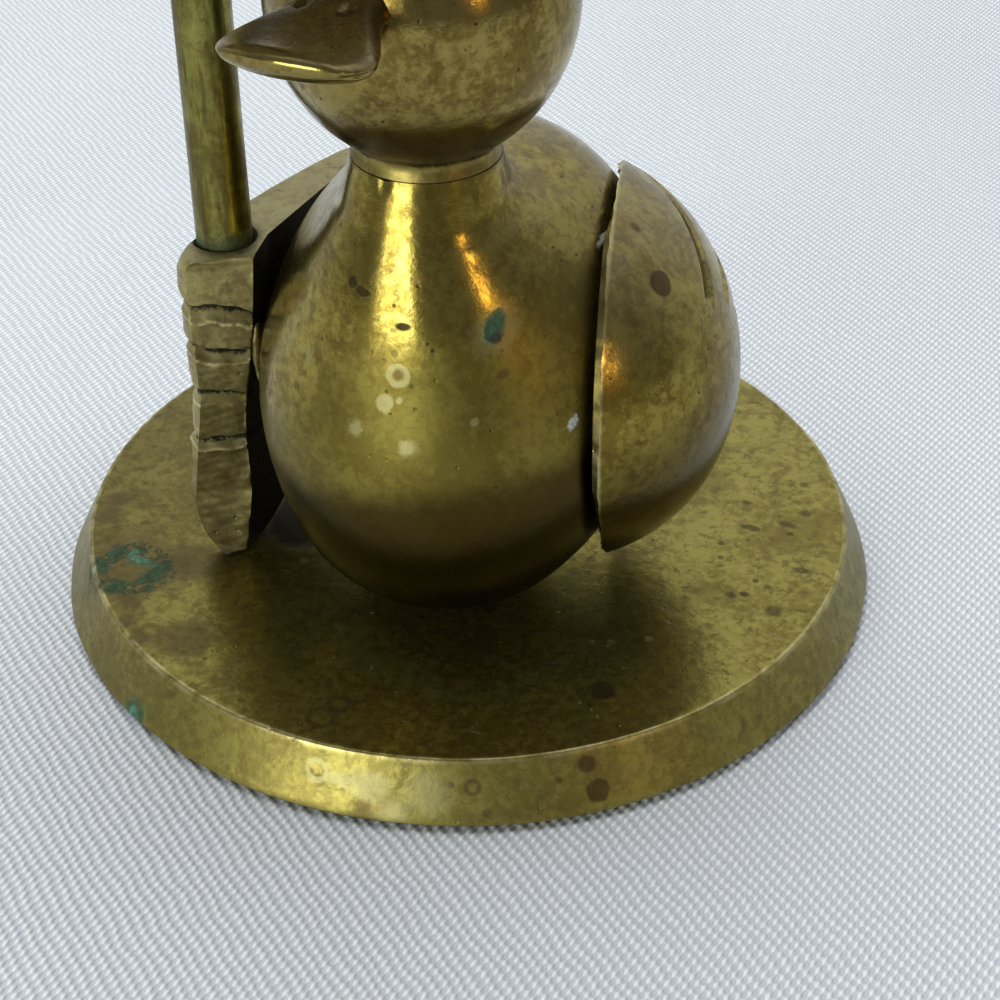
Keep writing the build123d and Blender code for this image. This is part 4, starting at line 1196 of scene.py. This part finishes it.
    # painted shade on the top in the gap between the holding wing and the body
    yield "shade_and_soot", f.times(0.92, f.spot(-16.6, -10.5, BASE_TOP, 6.6, 0.25, 0.8, 2.0, (1.25, 0.8, 1)))
    # the rim painted bright: a painted highlight on the rounded edge, with some rubbing
    from_middle = f.away(0, 0, 0, (1, 1, 0))
    rim = f.flip(f.step(f.math("ABSOLUTE", f.minus(from_middle, RIM_RADIUS - 0.15)), 0.12, 0.42))
    yield "bright", f.times(rim, f.range(f.noise(2.5, 3.0), 0.38, 0.65, 0.05, 0.75))
    # painted shade on the top round the body's foot
    from_seat = f.plus(f.away(4.4, -14.2, BASE_TOP, (1, 1, 0)), f.times(f.noise(3.0, 4.0), 3.0))
    yield "umber", f.times(0.55, f.times(top, f.flip(f.step(from_seat, 6.0, 12.0))))


def wing_stains(f):
    """Painted highlights on the feather lips, painted shade in the splits, on the inner side and low down, and
    verdigris round the socket.
    """
    # a painted highlight on the feather lips, and painted shade in the splits
    marked = (("bright", "lip_highlight", 0.85, 0.35, 1.0), ("shade_and_soot", "shade_and_soot", 0.97, 0.12, 0.5))
    for kind, name, share, low, high in marked:
        ragged = f.times(f.mark(name), f.range(f.noise(0.8, 4.0, 0.7), 0.35, 0.6, 0.35, 1.2))
        yield kind, f.times(share, f.step(ragged, low, high))
    # painted shade on the inner side, which faces the body
    yield "shade_and_soot", f.times(0.95, f.step(f.facing()[0], 0.86, 0.96))
    # painted shade low on the wing, near the base
    yield "shade_and_grime", f.times(0.45, f.step(f.parts()[2], BASE_TOP + 9.0, BASE_TOP + 1.0))
    hole = f.plus(f.away(SHAFT[0], SHAFT[1], WING_TOP, (1, 1, 0.4)), f.uneven(1.6, 1.2, 4.0))
    yield "umber", f.times(0.7, f.flip(f.step(hole, 3.6, 5.0)))
    yield "green", f.times(0.6, f.flip(f.step(hole, 3.2, 4.1)))
    yield "umber", f.times(0.5, f.step(f.noise(1.8, 5.0, 0.7, 0.6), 0.56, 0.66))


def shaft_stains(f):
    """Verdigris at the shaft's foot, and brown streaks along it."""
    z = f.plus(f.parts()[2], f.times(f.noise(0.9, 4.0, 0.7), 4.0))
    yield "green", f.times(0.75, f.flip(f.step(z, WING_TOP + 1.5, WING_TOP + 4.5)))
    streaks = f.noise(1.1, 4.0, 0.65, 0.2, place=f.stretched((1, 1, 0.07)))
    yield "umber", f.times(0.75, f.step(streaks, 0.52, 0.64))
    yield "black", f.times(0.5, f.step(f.noise(1.0, 3.0, 0.7, place=f.stretched((1, 1, 0.25))), 0.66, 0.74))


def turned_steel():
    """Steel with the rings of turning and a little rust."""
    f = Finish("turned_steel")
    rings = f.noise(0.5, 3.0, 0.6, place=f.stretched((0.2, 0.2, 3.0)))
    rust = f.step(f.noise(2.5, 4.0, 0.7), 0.56, 0.72)
    f.put(f.surface.inputs["Base Color"], f.mix(rust, (0.34, 0.33, 0.31), (0.20, 0.10, 0.05)))
    f.surface.inputs["Metallic"].default_value = 1.0
    f.put(f.surface.inputs["Roughness"], f.range(rings, 0.3, 0.7, 0.3, 0.55))
    f.join(f.height(rings, 0.03), f.surface.inputs["Normal"])
    return f.material


def green_felt():
    """Dark green felt, worn in places."""
    f = Finish("green_felt")
    tufts = f.noise(0.35, 5.0, 0.75, 0.8)
    worn = f.step(f.noise(5.0, 3.0), 0.45, 0.65)
    colour = f.mix(tufts, (0.008, 0.035, 0.018), (0.03, 0.12, 0.065))
    f.put(f.surface.inputs["Base Color"], f.mix(f.times(worn, 0.4), colour, (0.05, 0.07, 0.04)))
    f.surface.inputs["Roughness"].default_value = 0.95
    f.surface.inputs["Sheen Weight"].default_value = 0.4
    f.join(f.height(tufts, 0.25), f.surface.inputs["Normal"])
    return f.material


def wear(piece, material):
    """Gives a piece one finish."""
    piece.data.materials.clear()
    piece.data.materials.append(material)


body_brass = aged_brass("body_brass", stains=body_stains)
base_brass = aged_brass(
    "base_brass", (0.300, 0.252, 0.057), (0.180, 0.138, 0.027), (0.11, 0.27), stains=base_stains, film=0.6,
    dust_and_sheen=0.12, mottle=0.03, haze=0.22, veil_colour=(0.34, 0.31, 0.07), fleck=0.75)
head_brass = aged_brass("head_brass", (0.30, 0.235, 0.070), (0.17, 0.118, 0.028), stains=head_stains)
wing_brass = aged_brass(
    "wing_brass", (0.34, 0.29, 0.085), (0.20, 0.155, 0.042), (0.25, 0.42), stains=wing_stains, film=0.35,
    dust_and_sheen=0.75, mottle=0.05, haze=0.34, veil_colour=(0.42, 0.375, 0.19), up=(0.10, 0.60))
dome_brass = aged_brass("dome_brass", stains=dome_stains, dust_and_sheen=0.35)
shaft_brass = aged_brass(
    "shaft_brass", (0.24, 0.225, 0.062), (0.135, 0.115, 0.028), (0.24, 0.40), (1, 1, 0.22),
    shaft_stains, film=0.4, dust_and_sheen=0.2)
canopy_brass = aged_brass("canopy_brass", (0.30, 0.24, 0.075), (0.19, 0.135, 0.035), (0.22, 0.38), dust_and_sheen=0.3)
eye_brass = aged_brass("eye_brass", (0.10, 0.065, 0.026), (0.045, 0.028, 0.012), (0.12, 0.25), dust_and_sheen=0.05)
braze = aged_brass("braze", (0.34, 0.30, 0.14), (0.15, 0.13, 0.055), (0.30, 0.50), dust_and_sheen=0.3, mottle=0.12)
steel = turned_steel()
felt_green = green_felt()

pieces = {
    "body_shell": (make_body(), body_brass, "duck", "body_brass"),
    "head": (make_head(), head_brass, "duck", "head_brass"),
    "bill": (make_bill(), head_brass, "duck", "head_brass"),
    "left_eye": (make_eye(1), eye_brass, "duck", "eye_brass"),
    "right_eye": (make_eye(-1), eye_brass, "duck", "eye_brass"),
    "tail": (make_tail(), body_brass, "duck", "body_brass"),
    "base_plate": (make_base(), base_brass, "duck", "base_brass"),
    "base_felt": (make_felt(), felt_green, "duck", "felt"),
    "holding_wing": (make_holding_wing(), wing_brass, "duck", "wing_brass"),
    "holding_wing_braze": (make_braze(), braze, "duck", "braze"),
    "resting_wing": (make_resting_wing(), dome_brass, "duck", "wing_brass"),
    "umbrella_shaft": (make_shaft(), shaft_brass, "umbrella", "shaft_brass"),
    "umbrella_collar": (make_collar(), shaft_brass, "umbrella", "shaft_brass"),
    "umbrella_finial": (make_finial(), shaft_brass, "umbrella", "shaft_brass"),
    "umbrella_canopy": (make_canopy(), canopy_brass, "canopy", "canopy_brass"),
}
bend = CANOPY_BALL - CANOPY_WALL - 0.05 - WIRE_RADIUS
hub_end, rim_end = math.asin(6.35 / bend), math.asin(43.35 / bend)
ribs = grow("umbrella_wires", rib_tree(), {
    "Bend radius": bend * MM, "First angle": math.pi / 2 - rim_end, "Swept angle": rim_end - hub_end,
    "Middle": (SHAFT[0] * MM, SHAFT[1] * MM, (CANOPY_TOP - CANOPY_BALL) * MM),
    "Wire radius": WIRE_RADIUS * MM, "Finish": shaft_brass})
pieces["umbrella_ribs"] = (ribs, shaft_brass, "canopy", "shaft_brass")
for node, (piece, material, rider, slot) in pieces.items():
    wear(piece, material)
    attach(piece, rider)
    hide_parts(node)
for node in ("base_screw", "base_washer", "head_stud", "bill_peg", "holding_wing_pegs", "resting_wing_pegs",
             "tail_peg"):
    wear(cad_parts[node], steel)


# The room: a pale woven cloth, a window in front on the left, a warm lamp and a soft ceiling

THREAD_APART = 0.55
THREAD_ALONG = 1.02


def make_cloth():
    """A table cloth with faint folds, flat under the base."""
    count = 260
    near = np.linspace(-1, 1, count)
    place = np.sign(near) * (120 * np.abs(near) + 780 * np.abs(near) ** 3)
    x, y = np.meshgrid(place, place)
    flat = np.stack([x, y], -1)
    out = np.hypot(x, y)
    lift = waves(flat, 95.0, 1.0, 5) + waves(flat * np.array([1.0, 0.35]), 34.0, 0.45, 6)
    z = (lift - 2.2) * np.clip((out - 62) / 60, 0, 1) ** 1.5
    z = np.minimum(z, 0.9)
    points = np.stack([x, y, z - 0.01], -1).reshape(-1, 3)
    faces = [(r * count + c, r * count + c + 1, (r + 1) * count + c + 1, (r + 1) * count + c)
             for r in range(count - 1) for c in range(count - 1)]
    cloth = new_piece("table_cloth", points, faces, 60.0)
    f = Finish("table_cloth")
    # plain weave: threads that cross over and under each other
    threads = f.add("ShaderNodeSeparateXYZ")
    turned = f.stretched((math.pi / THREAD_APART, math.pi / THREAD_ALONG, 1), (0, 0, -25.0))
    f.join(turned, threads.inputs[0])
    drift = f.times(f.noise(1 / 0.22, 2.0, 0.5), 3.0)
    over = f.math("SINE", f.plus(threads.outputs[0], drift))
    under = f.math("SINE", f.plus(threads.outputs[1], drift))
    weave = f.times(over, under)
    lit = f.step(f.plus(weave, f.times(f.noise(0.9, 3.0, 0.6), 0.8)), 0.1, 1.3)
    shade = f.mix(lit, (0.56, 0.60, 0.655), (0.86, 0.885, 0.90))
    f.put(f.surface.inputs["Base Color"], shade)
    f.surface.inputs["Roughness"].default_value = 0.85
    f.surface.inputs["Sheen Weight"].default_value = 0.15
    f.join(f.height(weave, 0.14), f.surface.inputs["Normal"])
    wear(cloth, f.material)


def place_at(azimuth, elevation, distance, height=0.03):
    """A place in metres, at an angle round from the duck's front and an angle above the level."""
    a, e = math.radians(azimuth), math.radians(elevation)
    level = math.cos(e)
    return (math.sin(a) * level * distance, -math.cos(a) * level * distance, height + math.sin(e) * distance)


def add_window(name, place, aim, width, height, power, colour):
    """A flat lamp that looks from its place at an aim."""
    light = bpy.data.lights.new(name, "AREA")
    light.shape = "RECTANGLE"
    light.size, light.size_y = width, height
    light.energy = power
    light.color = colour
    lamp = bpy.data.objects.new(name, light)
    lamp.location = place
    lamp.rotation_euler = (Vector(aim) - Vector(place)).to_track_quat("-Z", "Y").to_euler()
    scene.collection.objects.link(lamp)
    return lamp


def make_room():
    """Soft light all round: a bright ceiling, a pale far wall, and a dim side behind the camera."""
    world = bpy.data.worlds.new("room")
    scene.world = world
    world.use_nodes = True
    tree = world.node_tree
    where = tree.nodes.new("ShaderNodeTexCoord")

    def towards(way, start, full, low=0.0, high=1.0):
        """A value that grows towards one side of the room."""
        side = tree.nodes.new("ShaderNodeVectorMath")
        side.operation = "DOT_PRODUCT"
        tree.links.new(where.outputs["Generated"], side.inputs[0])
        side.inputs[1].default_value = way
        share = tree.nodes.new("ShaderNodeMapRange")
        share.interpolation_type = "SMOOTHSTEP"
        tree.links.new(side.outputs["Value"], share.inputs["Value"])
        for name, value in (("From Min", start), ("From Max", full), ("To Min", low), ("To Max", high)):
            share.inputs[name].default_value = value
        return share.outputs[0]

    level = tree.nodes.new("ShaderNodeMix")
    tree.links.new(towards((-0.21, 0.46, 0.862), 0.55, 0.98), level.inputs["Factor"])
    tree.links.new(towards((-0.40, 0.917, 0.0), -0.45, 0.55, 0.20, 0.62), level.inputs[2])
    level.inputs[3].default_value = 0.95
    back = tree.nodes["Background"]
    back.inputs[0].default_value = (0.95, 0.98, 1.0, 1)
    tree.links.new(level.outputs[0], back.inputs[1])


def add_camera():
    """The camera above the duck's front left, a little turned about its own axis."""
    data = bpy.data.cameras.new("camera")
    data.lens = 68.4
    data.sensor_width = 36
    data.clip_start, data.clip_end = 0.01, 5
    camera = bpy.data.objects.new("camera", data)
    place, aim = Vector((0.0865, -0.1761, 0.1499)), Vector((0.00363, 0.00169, 0.00772))
    turn = (aim - place).to_track_quat("-Z", "Y")
    turn = turn @ Quaternion((0, 0, 1), math.radians(-0.2))
    camera.location = place
    camera.rotation_euler = turn.to_euler()
    scene.collection.objects.link(camera)
    scene.camera = camera


make_cloth()
add_window("front_window", place_at(-9, 10, 1.0), (0, 0, 0.045), 0.50, 0.38, 4.5, (0.97, 1.0, 0.92))
add_window("warm_lamp", place_at(66, 17, 0.8), (0, 0, 0.045), 0.045, 0.20, 0.30, (1.0, 0.62, 0.24))
ceiling = add_window("ceiling_light", place_at(-125, 68, 1.0), (0, 0, 0.0), 1.0, 1.0, 8.8, (0.98, 0.99, 0.985))
ceiling.visible_glossy = False
make_room()
add_camera()

scene.view_settings.view_transform = "Standard"
